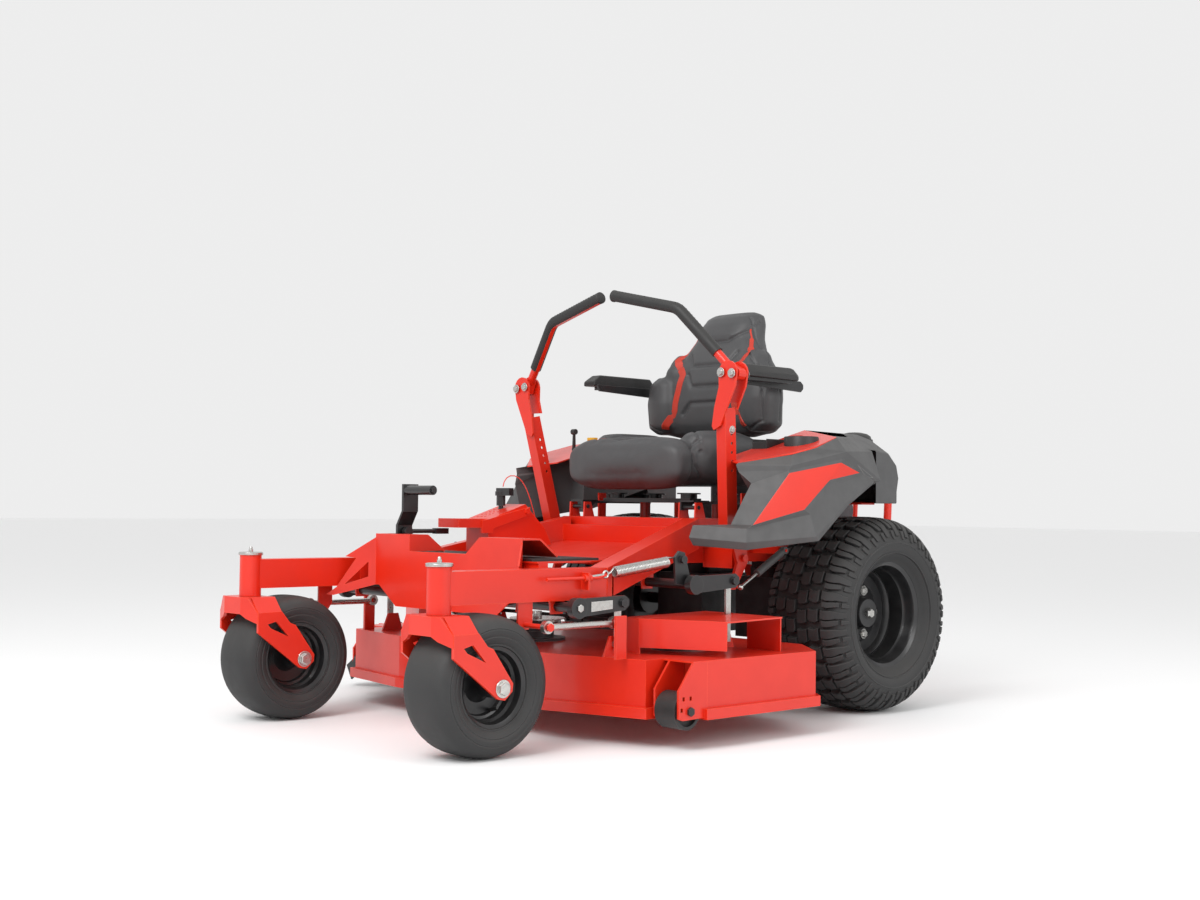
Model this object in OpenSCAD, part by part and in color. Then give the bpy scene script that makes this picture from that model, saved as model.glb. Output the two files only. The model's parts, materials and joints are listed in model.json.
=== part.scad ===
// Zero turn mower. Front is -Y, the operator's left is +X, up is +Z.
// The origin is on the ground, on the centre plane, at the front caster pivots.

/* [Frame] */
// Distance from the caster pivots to the rear axle
wheelbase = 1493; // [1440:1:1560]
// Width across the outer faces of the two front rails
rail_span = 880; // [800:1:940]
// Width of a rail
rail_w = 50; // [40:1:60]
// Height of a front rail
rail_h = 77; // [60:1:90]
// Height of the underside of the front rails
rail_z = 351; // [345:1:380]
// Wall of the rails
rail_wall = 5; // [3:0.5:8]
// Height of the top of the seat box
seat_box_z = 548; // [530:1:570]
// Half width of the seat box
seat_box_half = 278; // [250:1:285]

/* [Front wheels] */
// Radius of the front tyres
front_tyre_r = 165; // [150:1:168]
// Width of the front tyres
front_tyre_w = 162; // [140:1:170]
// Radius of the front rims at the flange
front_rim_r = 92; // [80:1:100]
// Distance the caster axle trails behind its pivot
caster_trail = 109; // [95:1:112]

/* [Rear wheels] */
// Radius of the rear tyres
rear_tyre_r = 279; // [250:1:290]
// Width of the rear tyres
rear_tyre_w = 280; // [240:1:290]
// Radius of the rear rims at the flange
rear_rim_r = 147; // [130:1:155]
// Distance between the centres of the rear tyres
rear_track = 889; // [880:1:940]

/* [Mowing deck] */
// Width of the deck
deck_w = 1360; // [1320:1:1400]
// Height of the top of the deck
deck_top = 212; // [200:1:218]
// Depth of the deck shell
deck_depth = 140; // [125:1:145]
// Thickness of the deck sheet
deck_wall = 5; // [3:0.5:6]
// Length of a blade
blade_len = 436; // [400:1:440]
// Distance between the middle blade and an outer one across the deck
blade_spacing = 427; // [422:1:432]

/* [Seat] */
// Width of the seat cushion
cushion_w = 500; // [440:1:520]
// Height of the underside of the seat cushion
cushion_z = 636; // [632:1:660]
// Thickness of the seat cushion
cushion_h = 160; // [120:1:170]

/* [Levers] */
// Outer radius of the lever tubes
lever_r = 12.5; // [10:0.5:14]
// Outer radius of the lever grips
grip_r = 17; // [14.5:0.5:19]

/* [Hidden] */

$fn = 64;
eps = 0.01;
// Radial clearance of a shaft that turns in a bore
running = 0.05;
red = "orangered";
dark = "dimgray";
black = [0.1, 0.1, 0.11];
zinc = "silver";

// Front rails and caster pivots
rail_out = rail_span / 2;
rail_in = rail_out - rail_w;
king_x = rail_out - rail_w / 2;
rail_top = rail_z + rail_h;
rail_kink_y = 500;
seat_box_y = 1000;
seat_box_depth = 250;
rail_rise_x = king_x - (seat_box_half - rail_w / 2);
rail_rise_y = seat_box_y - rail_kink_y;
rail_rise_len = norm([rail_rise_x, rail_rise_y]) - 14;
rail_rise_turn = atan2(rail_rise_x, rail_rise_y);
upper_rail_h = 84;
upper_rail_z = seat_box_z - upper_rail_h;
frame_rear_y = wheelbase + 290;
tube_r = 28.5;
tube_bottom = front_tyre_r * 2 + 0.6;
tube_top = rail_top + 10;
stem_r = 15;
kingpin_cap_r = 31;

// Caster forks
fork_plate = 8;
fork_half = front_tyre_w / 2 + 18.5;
fork_top_half = fork_half - 37.5;
fork_shoulder_z = front_tyre_r * 2 - 39;
fork_top_z = tube_bottom - 0.6;
fork_front_y = -52;
fork_side_y = -32;
fork_rear_y = 38;
fork_skirt_z = fork_top_z - 44;
axle_r = 9.5;
caster_hub_r = 24;

// Rear wheels and drive
engine_y = wheelbase + 50;
rear_axle_r = 17.5;
rear_hub_r = 46;
rear_inner_x = rear_track / 2 - rear_tyre_w / 2;

// Deck
deck_half = deck_w / 2;
deck_bottom = deck_top - deck_depth;
deck_front_y = 410;
deck_rear_y = 1140;
deck_lip_h = 26;
deck_lip = 12;
middle_blade_y = 650;
side_blade_y = 775;
blade_z = deck_bottom + 36;
spindle_r = 12.5;
housing_r = 34;
pulley_r = 66;
pulley_z = deck_top + 50;
pulley_h = 20;
belt_t = 8;
cover_z = deck_top + 88;
scalp_r = 45;
scalp_w = 66;
scalp_y = 545;
scalp_z = deck_bottom + 23;
scalp_x = deck_half - 40;
hinge_pin_r = 5;
chute_y0 = 640;
chute_y1 = 980;
chute_reach = 265;
chute_hinge_x = deck_half + 14;
chute_hinge_z = deck_top - 9;

// Deck lift
lift_shaft_r = 12;
lift_arm_x = rail_out + 44;
lift_arm_t = 14;
lift_boss_r = 25;
front_lift_y = 354;
front_lift_z = rail_z - 15;
rear_lift_y = 757;
rear_lift_z = 381;
lift_arm_len = 147;
front_tip_z = 344;
rear_tip_z = 388;
hanger_t = 6;
hanger_gap = 2;
drag_gap = 2;
drag_r = 8;
drag_x = lift_arm_x + lift_arm_t + 2 + drag_gap + drag_r;
drag_y = 242;
drag_z = 297;
drag_len = 214;
spring_x = rail_out + 18;
spring_front = [spring_x, 505, 417];
spring_rear = [spring_x, 690, 439];
spring_r = 14.5;
pedal_x = -288;
pedal_y = 405;
pedal_pivot_z = 370;
pedal_t = 8;
pedal_w = 50;
pedal_gap = 8;
pedal_swing = 20;
lift_rod_z = 503;

// Depth console
console_x = [-270, -170];
console_y = [610, 745, 905];
console_z = [538, 582];
pin_y = 705;
pin_x = -232;
pin_r = 7;

// Levers
lever_pivot = [374, 1070, 440];
lever_pin_r = 10;
post_w = 34;
post_d = 40;
post_base = [366, 1020, 545];
post_top = [404, 966, 850];
head_y = [943, 985];
head_t = 6;
head_pivot = [449, 939.5];
head_stop = [411, 943.7];
tube_points = [[418, 967, 957], [389, 960, 989], [262, 922, 1128], [33, 900, 1180]];
damper_x = 406;
damper_ball = [damper_x, 1030, 363];
damper_mount = [damper_x, 1210, 461];
damper_body_r = 11;
damper_rod_r = 4;

// Seat
seat_hinge = [0, seat_box_y + 12, 578];
seat_front_y = 935;
seat_rear_y = 1345;
back_y = 1335;
back_bottom_z = 800;
back_top_z = 1190;
back_lean = 8;
arm_x = 275;
arm_w = 55;
arm_hinge_y = 1385;
arm_z = 953;

// Fenders
fender_out = rear_track / 2 + rear_tyre_w / 2 + 2;
fender_in = 300;
fender_front_in = 422;
fender_split_y = 1115;
fender_wall = 5;
fender_side = [[852, 492], [1130, 504], [1262, 590], [1352, 620], [1377, 656], [1418, 672], [1408, 714],
    [1350, 766], [1205, 779], [1090, 788], [1000, 712], [905, 645], [875, 600], [950, 540], [852, 534]];
cup_r = 42;
cup_y = 1205;
cup_x = 470;
cap_r = 50;
cap_x = 450;
cap_y = 1470;
tank_z = [600, 738];
controls_x = -450;

// Shapes that repeat
module both() {
    children();
    mirror([1, 0, 0]) children();
}

module on_side(side) {
    if (side > 0) children();
    else mirror([1, 0, 0]) children();
}

module block(x, y, z) {
    translate([x[0], y[0], z[0]]) cube([x[1] - x[0], y[1] - y[0], z[1] - z[0]]);
}

// A plate whose outline is given as [y, z], from x towards +X
module side_plate(points, x, t) {
    translate([x, 0, 0]) rotate([90, 0, 90]) linear_extrude(t) polygon(points);
}

// A plate whose outline is given as [x, z], from y towards +Y
module front_plate(points, y, t) {
    translate([0, y + t, 0]) rotate([90, 0, 0]) linear_extrude(t) polygon(points);
}

module pin_x(x, y, z, r) {
    translate([x[0], y, z]) rotate([0, 90, 0]) cylinder(h = x[1] - x[0], r = r);
}

module pin_y(x, y, z, r) {
    translate([x, y[0], z]) rotate([-90, 0, 0]) cylinder(h = y[1] - y[0], r = r);
}

module pin_z(x, y, z, r) {
    translate([x, y, z[0]]) cylinder(h = z[1] - z[0], r = r);
}

// A straight round bar between two points
module bar(a, b, r) {
    d = b - a;
    translate(a) rotate([0, acos(d[2] / norm(d)), atan2(d[1], d[0])]) cylinder(h = norm(d), r = r);
}

// Bars joined along a path by balls that stand a little proud, as swaged bends do
module tube_path(points, r) {
    for (i = [0 : len(points) - 2]) bar(points[i], points[i + 1], r);
    for (i = [1 : len(points) - 2]) translate(points[i]) sphere(r = r * 1.02);
}

// A hexagon bolt head on the +X side
module hex_x(x, y, z, r, h) {
    translate([x, y, z]) rotate([0, 90, 0]) cylinder(h = h, r = r, $fn = 6);
}

// Points of an arc in a plane
function arc(cx, cy, r, a0, a1, n = 8) =
    [for (i = [0 : n]) [cx + r * cos(a0 + (a1 - a0) * i / n), cy + r * sin(a0 + (a1 - a0) * i / n)]];

// A closed convex outline moved inwards by d, listed anticlockwise
function cross2(a, b) = a[0] * b[1] - a[1] * b[0];
function inward(a, b) = [a[1] - b[1], b[0] - a[0]] / norm(b - a);
function meet(p, u, q, v) = p + u * cross2(q - p, v) / cross2(u, v);
function inset(pts, d) = [for (i = [0 : len(pts) - 1])
    let (a = pts[(i + len(pts) - 1) % len(pts)], b = pts[i], c = pts[(i + 1) % len(pts)])
    meet(a + inward(a, b) * d, b - a, b + inward(b, c) * d, c - b)];

// Frame
function rail_outline(w, rear) = [[12 + w, rail_z + w], [rail_kink_y, rail_z + w],
    [rail_kink_y, rail_top - w], [12 + w, rail_top - w]];
function rise_outline(w) = [[-10, rail_z + w], [rail_rise_len, upper_rail_z + w],
    [rail_rise_len, seat_box_z - w], [-10, rail_top - w]];

module rail() {
    difference() {
        union() {
            side_plate(rail_outline(0), rail_in, rail_w);
            translate([king_x, rail_kink_y, 0]) rotate([0, 0, rail_rise_turn])
                side_plate(rise_outline(0), -rail_w / 2, rail_w);
            pin_z(king_x, 0, [tube_bottom, tube_top], tube_r);
        }
        side_plate([for (p = rail_outline(rail_wall)) [p[0] + tube_r, p[1]]],
            rail_in + rail_wall, rail_w - 2 * rail_wall);
        translate([king_x, rail_kink_y, 0]) rotate([0, 0, rail_rise_turn])
            side_plate([for (p = rise_outline(rail_wall)) [p[0] + 24, p[1]]],
                -rail_w / 2 + rail_wall, rail_w - 2 * rail_wall);
        pin_z(king_x, 0, [tube_bottom - 1, tube_top + 1], stem_r + running);
    }
}

// A plate that hangs below the rail and carries a lift shaft
module shaft_bracket(x, y, z, top) {
    difference() {
        side_plate([[y - 24, top], [y - 18, z - 18], [y + 18, z - 18], [y + 24, top]], x, 6);
        pin_x([x - 1, x + 7], y, z, lift_shaft_r + running);
    }
}

module spring_anchor() {
    block([rail_out - 1, spring_x + 8], [412, 418], [rail_z + 25, rail_top - 10]);
    tube_path([[spring_x, 285, 404], [spring_x, 452, 405], [spring_x, 476, 411]], 4);
    for (y = [404, 419]) pin_y(spring_x, [y, y + 7], 404.5, 9);
}

module rear_guard() {
    guard = [[225, frame_rear_y - 10, 520], [225, frame_rear_y + 150, 520], [225, frame_rear_y + 158, 660],
        [-225, frame_rear_y + 158, 660], [-225, frame_rear_y + 150, 520], [-225, frame_rear_y - 10, 520]];
    tube_path(guard, 12.5);
    tube_path([[95, frame_rear_y + 158, 660], [95, frame_rear_y + 150, 520], [95, frame_rear_y + 40, 470],
        [95, frame_rear_y, 470]], 8);
    tube_path([[-95, frame_rear_y + 158, 660], [-95, frame_rear_y + 150, 520], [-95, frame_rear_y + 40, 470],
        [-95, frame_rear_y, 470]], 8);
}

module frame() color(red) {
    both() rail();
    // Cross members
    difference() {
        block([-rail_in - 1, rail_in + 1], [cover_y + cover_t + 0.2, pedal_y - 33], [rail_z + 12, rail_top]);
        block([pedal_x - pedal_t / 2 - pedal_gap, pedal_x + pedal_t / 2 + pedal_gap],
            [pedal_y - pedal_w / 2 - pedal_swing, pedal_y], [rail_z + 11, rail_top + 1]);
    }
    block([-seat_box_half + 30, seat_box_half - 30], [955, seat_box_y - 0.3], [upper_rail_z, upper_rail_z + 60]);
    // Rear rails and engine plate
    both() block([200, 250], [955, frame_rear_y], [upper_rail_z - 40, upper_rail_z + 10]);
    difference() {
        block([-250, 250], [1255, frame_rear_y], [upper_rail_z + 10 - eps, upper_rail_z + 18]);
        pin_z(0, engine_y, [upper_rail_z, upper_rail_z + 20], 48);
    }
    block([-250, 250], [frame_rear_y - eps, frame_rear_y + 6], [330, upper_rail_z + 18]);
    difference() {
        block([-45, 45], [frame_rear_y, frame_rear_y + 62], [372, 380]);
        pin_z(0, frame_rear_y + 36, [371, 381], 9.5);
    }
    rear_guard();
    both() block([205, 245], [frame_rear_y - 6, frame_rear_y + 6], [upper_rail_z, 536]);
    // Supports of the fenders and the fuel tanks
    both() {
        block([249, 299.7], [1150, 1180], [455, 473]);
        block([294, 299.7], [1150, 1180], [455, 620]);
        block([244, 250], [1440, 1500], [upper_rail_z + 12, tank_z[0] - 0.3]);
        block([244, 500], [1440, 1500], [tank_z[0] - 8, tank_z[0] - 0.3]);
    }
    both() {
        shaft_bracket(rail_in + 22, front_lift_y, front_lift_z, rail_z + 1);
        shaft_bracket(seat_box_half + 37, rear_lift_y, rear_lift_z, 425);
        spring_anchor();
        // Pivot of the control lever and the rear end of its damper
        block([249, lever_pivot[0] - 16], [1046, 1094], [412, 468]);
        pin_x([lever_pivot[0] - 17, lever_pivot[0] + 14], lever_pivot[1], lever_pivot[2], lever_pin_r);
        block([249, damper_x - 14], [1202, 1220], [451, 471]);
        pin_x([damper_x - 15, damper_x + 9], damper_mount[1], damper_mount[2], 4);
        // Front bracket of the drag link
        side_plate([[drag_y - 22, 303], [drag_y - 10, 286], [drag_y + 10, 286], [drag_y + 22, 303],
            [drag_y + 22, rail_z + 1], [drag_y - 22, rail_z + 1]], rail_out - 14, 6);
        pin_x([rail_out - 9, drag_x + 10], drag_y, drag_z, 6);
        hex_x(drag_x + 10, drag_y, drag_z, 10, 6);
    }
    // Pivot of the lift pedal
    block([pedal_x - 24, pedal_x - 14], [pedal_y - 20, pedal_y + 20], [rail_z + 2, 390]);
    block([-rail_in - 1, pedal_x - 14], [pedal_y - 20, pedal_y + 20], [rail_z + 2, rail_z + 8]);
    pin_x([pedal_x - 15, pedal_x + 12], pedal_y, pedal_pivot_z, 8);
}

// Bent sheet cover between the rails
cover_x = 312;
cover_y = 328;
cover_t = 4;
hump = [-155, 146];
hump_z = 497;
valley_z = 453;
module front_cover() color(red) difference() {
    union() {
        front_plate([[-cover_x, 357], [cover_x, 357], [cover_x, hump_z], [hump[1], hump_z],
            [hump[1] - 56, valley_z], [hump[0], valley_z], [hump[0], hump_z], [-cover_x, hump_z]], cover_y, cover_t);
        front_plate([[-295, 358], [-215, 302], [215, 302], [295, 358]], cover_y, cover_t);
        for (x = [[-cover_x, hump[0]], [hump[1], cover_x]])
            translate([x[0], 0, 0]) rotate([90, 0, 90]) linear_extrude(x[1] - x[0])
                polygon([[cover_y, hump_z], [cover_y + 62, hump_z], [cover_y + 120, valley_z],
                    [cover_y + 116, valley_z - 3], [cover_y + 60, hump_z - cover_t], [cover_y, hump_z - cover_t]]);
        side_plate([[cover_y, valley_z], [cover_y, hump_z], [cover_y + 62, hump_z], [cover_y + 118, valley_z],
            [cover_y + 100, valley_z]], hump[0] - cover_t, cover_t);
        both() translate([cover_x, cover_y + cover_t, 0]) rotate([0, 0, -45]) wing();
    }
    block([pedal_x - 16, pedal_x + 32], [cover_y + cover_t + 8, cover_y + 140], [430, 520]);
}

// Gusset from the end of the cover to the rail, with its window
module wing() {
    difference() {
        front_plate([[0, 357], [118, 326], [138, 328], [110, 348], [56, 429], [87, 433], [0, 488]], -cover_t, cover_t);
        front_plate([[22, 420], [22, 378], [88, 356]], -cover_t - 1, cover_t + 2);
    }
}

pan_half = rail_in - 22;
pan_z = rail_top + 10;
module foot_pan() color(red) {
    front = cover_y + cover_t + 0.5;
    difference() {
        union() {
            translate([0, 0, pan_z]) linear_extrude(4)
                polygon([[-pan_half, front], [pan_half, front], [pan_half, rail_kink_y + 10],
                    [pan_half - 60, 690], [-pan_half + 60, 690], [-pan_half, rail_kink_y + 10]]);
            // Front bearer, which rests on the cross member
            block([-pan_half, pan_half], [front + 4, front + 34], [rail_top + 0.2, pan_z + eps]);
        }
        block([pedal_x - 16, pedal_x + 34], [cover_y + 20, 470], [rail_top, pan_z + 12]);
    }
    block([-pan_half + 45, pan_half - 45], [600, 630], [rail_top, pan_z + eps]);
    // Sloped rear of the pan, up to the seat box
    side_plate([[690 - eps, pan_z], [700, pan_z], [954.7, pan_z + 33], [954.7, pan_z + 37], [690 - eps, pan_z + 4]],
        -pan_half + 140, 2 * pan_half - 280);
}

module foot_mat() color([0.16, 0.16, 0.17]) difference() {
    block([-pan_half + 22, pan_half - 22], [cover_y + cover_t + 2, 556], [pan_z + 4, pan_z + 10]);
    block([pedal_x - 20, pedal_x + 38], [cover_y + 10, 476], [pan_z - 8, pan_z + 20]);
    for (x = [-336 : 24 : 336])
        block([x - 4, x + 4], [cover_y + 130, 546], [pan_z + 8, pan_z + 11]);
}

module seat_box() color(red) {
    side = seat_box_half - 4;
    difference() {
        block([-side, side], [seat_box_y, seat_box_y + seat_box_depth], [upper_rail_z + 20, seat_box_z]);
        block([-side + 4, side - 4], [seat_box_y + 4, seat_box_y + seat_box_depth + 1], [upper_rail_z, seat_box_z - 4]);
        block([-164, -156], [seat_box_y - 1, seat_box_y + 6], [upper_rail_z + 20 - 1, 520]);
    }
    // Rubber stops under the seat plate
    both() pin_z(150, 1210, [seat_box_z - eps, 591.7], 16);
    // Seat hinge brackets
    both() for (x = [196, 258]) difference() {
        side_plate([[seat_box_y - 2, seat_box_z - eps], [seat_box_y + 40, seat_box_z - eps],
            [seat_hinge[1] + 14, 592], [seat_hinge[1] - 12, 592]], x, 5);
        pin_x([x - 1, x + 6], seat_hinge[1], seat_hinge[2], 6 + running);
    }
}

module fender_profile(x, w, points) {
    translate([x, 0, 0]) rotate([90, 0, 90]) linear_extrude(w) polygon(points);
}

// Left fender: a moulded shell over the front of the rear wheel
module fender() {
    rear = [[fender_split_y, 560], [1262, 620], [1377, 664], [1418, 672], [1408, 714],
        [1350, 766], [1205, 779], [fender_split_y, 786]];
    rear_in = [[fender_split_y - 20, 540], [1262, 600], [1377, 640], [1412, 668], [1402, 712],
        [1347, 760], [1205, 773], [fender_split_y - 20, 780]];
    front_in = [[858, 480], [1128, 480], [1262, 580], [1352, 600], [1380, 650], [1412, 678], [1402, 711],
        [1347, 760], [1205, 773], [1092, 781], [1004, 706], [911, 642], [884, 602], [966, 529], [858, 529]];
    difference() {
        union() {
            fender_profile(fender_front_in, fender_out - fender_front_in, fender_side);
            fender_profile(fender_in, fender_front_in - fender_in + 1, rear);
        }
        fender_profile(fender_front_in + fender_wall, fender_out - fender_front_in - 2 * fender_wall, front_in);
        fender_profile(fender_in + fender_wall, fender_front_in - fender_in, rear_in);
        children();
    }
}

// Cup well and tray in the top of the left fender
module fender_left() color(dark) {
    fender() {
        pin_z(cup_x, cup_y, [700, 800], cup_r);
        block([340, 400], [1140, 1300], [755, 800]);
    }
    difference() {
        pin_z(cup_x, cup_y, [716, 776], cup_r + 4);
        pin_z(cup_x, cup_y, [720, 790], cup_r);
    }
    difference() {
        block([336, 404], [1136, 1304], [744, 770]);
        block([340, 400], [1140, 1300], [748, 790]);
    }
}

module fender_right() color(dark) mirror([1, 0, 0]) fender() {
    block([-controls_x - 6, -controls_x + 6], [1150, 1214], [750, 800]);
    pin_z(-controls_x, 1262, [750, 800], 12 + 1);
    pin_z(-controls_x, 1312, [740, 800], 9 + 1);
}

module fuel_tanks() color(black) both() {
    block([312, 560], [1128, 1330], [tank_z[0] + 26, tank_z[0] + 106]);
    block([380, 560], [1422, 1550], [tank_z[0], tank_z[1] - 10]);
    block([430, 540], [1328, 1424], [tank_z[0] + 28, tank_z[0] + 54]);
    pin_z(cap_x, cap_y, [tank_z[1] - 11, tank_z[1]], 30);
}

module fuel_cap() color(black) {
    pin_z(cap_x, cap_y, [tank_z[1] + 0.3, tank_z[1] + 34], cap_r);
    translate([cap_x, cap_y, tank_z[1] + 34]) cylinder(h = 10, r1 = cap_r, r2 = cap_r - 12);
}

// Twin cylinder engine with its cooling shroud and muffler
module engine() color(black) {
    base = upper_rail_z + 18.3;
    block([-130, 130], [engine_y - 120, engine_y + 120], [base, base + 110]);
    pin_z(0, engine_y, [base + 110 - eps, base + 180], 136);
    pin_z(0, engine_y, [base + 180 - eps, base + 200], 90);
    both() translate([95, engine_y + 45, base + 75]) rotate([0, 90, 35])
        for (i = [0 : 6]) translate([0, 0, i * 17]) cylinder(h = 9, r = 58);
    both() translate([90, engine_y + 40, base + 75]) rotate([0, 90, 35]) cylinder(h = 130, r = 40);
    pin_x([-150, 150], engine_y + 255, base + 92, 56);
    both() bar([110, engine_y + 60, base + 75], [110, engine_y + 235, base + 85], 16);
    pin_z(0, engine_y, [upper_rail_z - 60, base + 1], 14);
}

module clutch_pulley() color(zinc) difference() {
    union() {
        pin_z(0, engine_y, [upper_rail_z - 52, upper_rail_z - 4], 62);
        pin_z(0, engine_y, [upper_rail_z - 60, upper_rail_z - 52], 70);
    }
    pin_z(0, engine_y, [upper_rail_z - 70, upper_rail_z], 14 + running);
}

module transaxles() color(black) both() {
    block([70, 262], [wheelbase - 110, wheelbase + 95], [190, 372]);
    pin_x([261, rear_inner_x - 12], wheelbase, rear_tyre_r, 52);
    pin_x([200, rear_track / 2 + 32], wheelbase, rear_tyre_r, rear_axle_r);
    pin_z(165, wheelbase - 60, [371, 402], 60);
    block([90, 240], [wheelbase - 60, wheelbase + 60], [371, upper_rail_z - 40.2]);
}

module depth_console() {
    color(red) difference() {
        outline = [[console_y[0], 443], [console_y[0], console_z[0]], [console_y[1], console_z[1]],
            [820, 512], [console_y[2] - 60, 466], [console_y[1], 449], [690, 443]];
        side_plate(outline, console_x[0], console_x[1] - console_x[0]);
        side_plate([for (p = outline) [p[0] + (p[0] < 650 ? 4 : (p[0] > 760 ? -6 : 0)), p[1] < 470 ? p[1] - 12 : p[1] - 4]],
            console_x[0] + 4, console_x[1] - console_x[0] - 8);
        // Rows of height holes
        for (row = [0 : 2], hole = [0 : 5])
            pin_z(console_x[0] + 22 + row * 17, console_y[0] + 24 + hole * 15, [530, 600], 4);
        pin_z(pin_x, pin_y, [530, 620], pin_r + running);
    }
    color(black) {
        block([console_x[1] + 0.5, console_x[1] + 8], [console_y[0] - 28, console_y[0] + 10], [500, 536]);
        side_plate([[console_y[0] - 28, 502], [console_y[1] + 10, 552], [console_y[1] + 12, 574],
            [console_y[0] - 28, 534]], console_x[1], 8);
        block([console_x[0] + 6, console_x[1] + 1], [505, console_y[0] - 1], [515, 540]);
        block([console_x[0] + 30, console_x[1] + 1], [console_y[0] - 28, console_y[0] + 1], [515, 536]);
    }
    color(zinc) hex_x(console_x[1] + 8, console_y[1], 562, 9, 5);
}

// Wire that keeps the height pin: its route in round numbers
lanyard_route = [[-232, 712, 632], [-232, 716, 646], [-230, 724, 658], [-227, 735, 664], [-223, 748, 664],
    [-218, 760, 658], [-213, 770, 646], [-208, 778, 630], [-203, 784, 612], [-199, 789, 594],
    [-196, 793, 576], [-194, 797, 562], [-193, 800, 550], [-192, 802, 540]];
lanyard_r = 1.5;
sides = 8;
function along(p, i) = p[min(i + 1, len(p) - 1)] - p[max(i - 1, 0)];
function unit(v) = v / norm(v);
module swept(p, r) {
    rings = [for (i = [0 : len(p) - 1]) let (t = unit(along(p, i)), a = unit(cross(t, [1, 0, 0])), b = cross(t, a))
        for (k = [0 : sides - 1]) p[i] + r * (cos(k * 360 / sides) * a + sin(k * 360 / sides) * b)];
    polyhedron(rings, concat([[for (k = [0 : sides - 1]) k]],
        [for (i = [0 : len(p) - 2], k = [0 : sides - 1])
            [i * sides + k, (i + 1) * sides + k, (i + 1) * sides + (k + 1) % sides, i * sides + (k + 1) % sides]],
        [[for (k = [sides - 1 : -1 : 0]) (len(p) - 1) * sides + k]]));
}
module pin_lanyard() color(red) swept(lanyard_route, lanyard_r);

module height_pin() color(black) {
    pin_z(pin_x, pin_y, [528, 596], pin_r);
    pin_z(pin_x, pin_y, [577, 606], 13);
    pin_z(pin_x, pin_y, [606, 618], 17);
    block([pin_x - 12, pin_x + 46], [pin_y - 9, pin_y + 9], [606, 628]);
}

// Hand controls on the right fender
module throttle_lever() color(black) {
    side_plate([[1176, 756], [1188, 756], [1186, 812], [1178, 812]], controls_x - 2.5, 5);
    pin_x([controls_x - 8, controls_x + 8], 1182, 816, 9);
    pin_x([controls_x - 4, controls_x + 4], 1182, 760, 6);
}
module blade_switch() color("gold") {
    pin_z(controls_x, 1262, [756, 786], 12);
    pin_z(controls_x, 1262, [786, 800], 17);
}
module ignition_key() color(zinc) {
    pin_z(controls_x, 1312, [750, 776], 9);
    block([controls_x - 2, controls_x + 2], [1300, 1324], [776, 802]);
}

// Casters
function mirror_pts(p) = [for (i = [len(p) - 1 : -1 : 0]) [p[i][0], -p[i][1]]];
module wheel(profile, x, y, z) {
    translate([x, y, z]) rotate([0, 90, 0]) rotate_extrude($fn = 96) polygon(profile);
}

module caster_fork() {
    leg = [[fork_side_y, fork_shoulder_z], [fork_rear_y, fork_shoulder_z + 2], [64, 262], [80, 256],
        [caster_trail + 30, front_tyre_r + 10], [caster_trail + 28, front_tyre_r - 8],
        [caster_trail + 6, front_tyre_r - 27], [caster_trail - 14, front_tyre_r - 23], [fork_side_y, 240]];
    window = [[-4, 261], [22, 268], [60, 226], [6, 250]];
    color(red) translate([king_x, 0, 0]) {
        difference() {
            union() {
                // Top with its two sloped shoulders
                front_plate([[-fork_half, fork_shoulder_z], [-fork_top_half, fork_top_z], [fork_top_half, fork_top_z],
                    [fork_half, fork_shoulder_z], [fork_half - fork_plate, fork_shoulder_z - 2],
                    [fork_top_half - 3, fork_top_z - fork_plate], [-fork_top_half + 3, fork_top_z - fork_plate],
                    [-fork_half + fork_plate, fork_shoulder_z - 2]], fork_side_y, fork_rear_y - fork_side_y);
                translate([0, 0, fork_top_z - fork_plate]) linear_extrude(fork_plate)
                    polygon([[-fork_top_half, fork_side_y + 1], [-42, fork_front_y], [42, fork_front_y],
                        [fork_top_half, fork_side_y + 1]]);
                // Front skirt and its corners
                block([-42, 42], [fork_front_y, fork_front_y + fork_plate], [fork_skirt_z, fork_top_z]);
                for (m = [0, 1]) mirror([m, 0, 0]) {
                    translate([42, fork_front_y, 0]) rotate([0, 0, atan2(fork_side_y - fork_front_y, fork_half - 42)])
                        front_plate([[-1, fork_skirt_z], [18, fork_skirt_z - 11], [59, 262], [59, fork_shoulder_z - 1],
                            [22, fork_top_z], [-1, fork_top_z]], 0, fork_plate);
                    side_plate(leg, fork_half - fork_plate, fork_plate);
                }
            }
            for (m = [0, 1]) mirror([m, 0, 0]) side_plate(window, fork_half - fork_plate - 1, fork_plate + 2);
            pin_x([-fork_half - 1, fork_half + 1], caster_trail, front_tyre_r, axle_r);
        }
    }
    color(zinc) translate([king_x, 0, 0]) {
        pin_z(0, 0, [fork_top_z - 2, tube_top + 1], stem_r);
        pin_z(0, 0, [tube_top + 0.5, tube_top + 7], kingpin_cap_r);
        pin_z(0, 0, [tube_top + 7, tube_top + 16], 5);
        pin_x([-fork_half - 8, fork_half + 8], caster_trail, front_tyre_r, axle_r);
        hex_x(fork_half, caster_trail, front_tyre_r, 14, 8);
        hex_x(-fork_half - 8, caster_trail, front_tyre_r, 14, 8);
    }
}

front_half_rim = front_tyre_w / 2 - 17;
module caster_rim() color(black) {
    half = [[axle_r + running, fork_half - fork_plate - 3], [caster_hub_r, fork_half - fork_plate - 3],
        [caster_hub_r, 12], [front_rim_r - 16, 10], [front_rim_r - 15, front_half_rim - 6],
        [front_rim_r - 4, front_half_rim], [front_rim_r, front_half_rim], [front_rim_r, front_half_rim - 4],
        [front_rim_r - 10, front_half_rim - 4.5]];
    wheel(concat(half, mirror_pts(half)), king_x, caster_trail, front_tyre_r);
}

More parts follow.
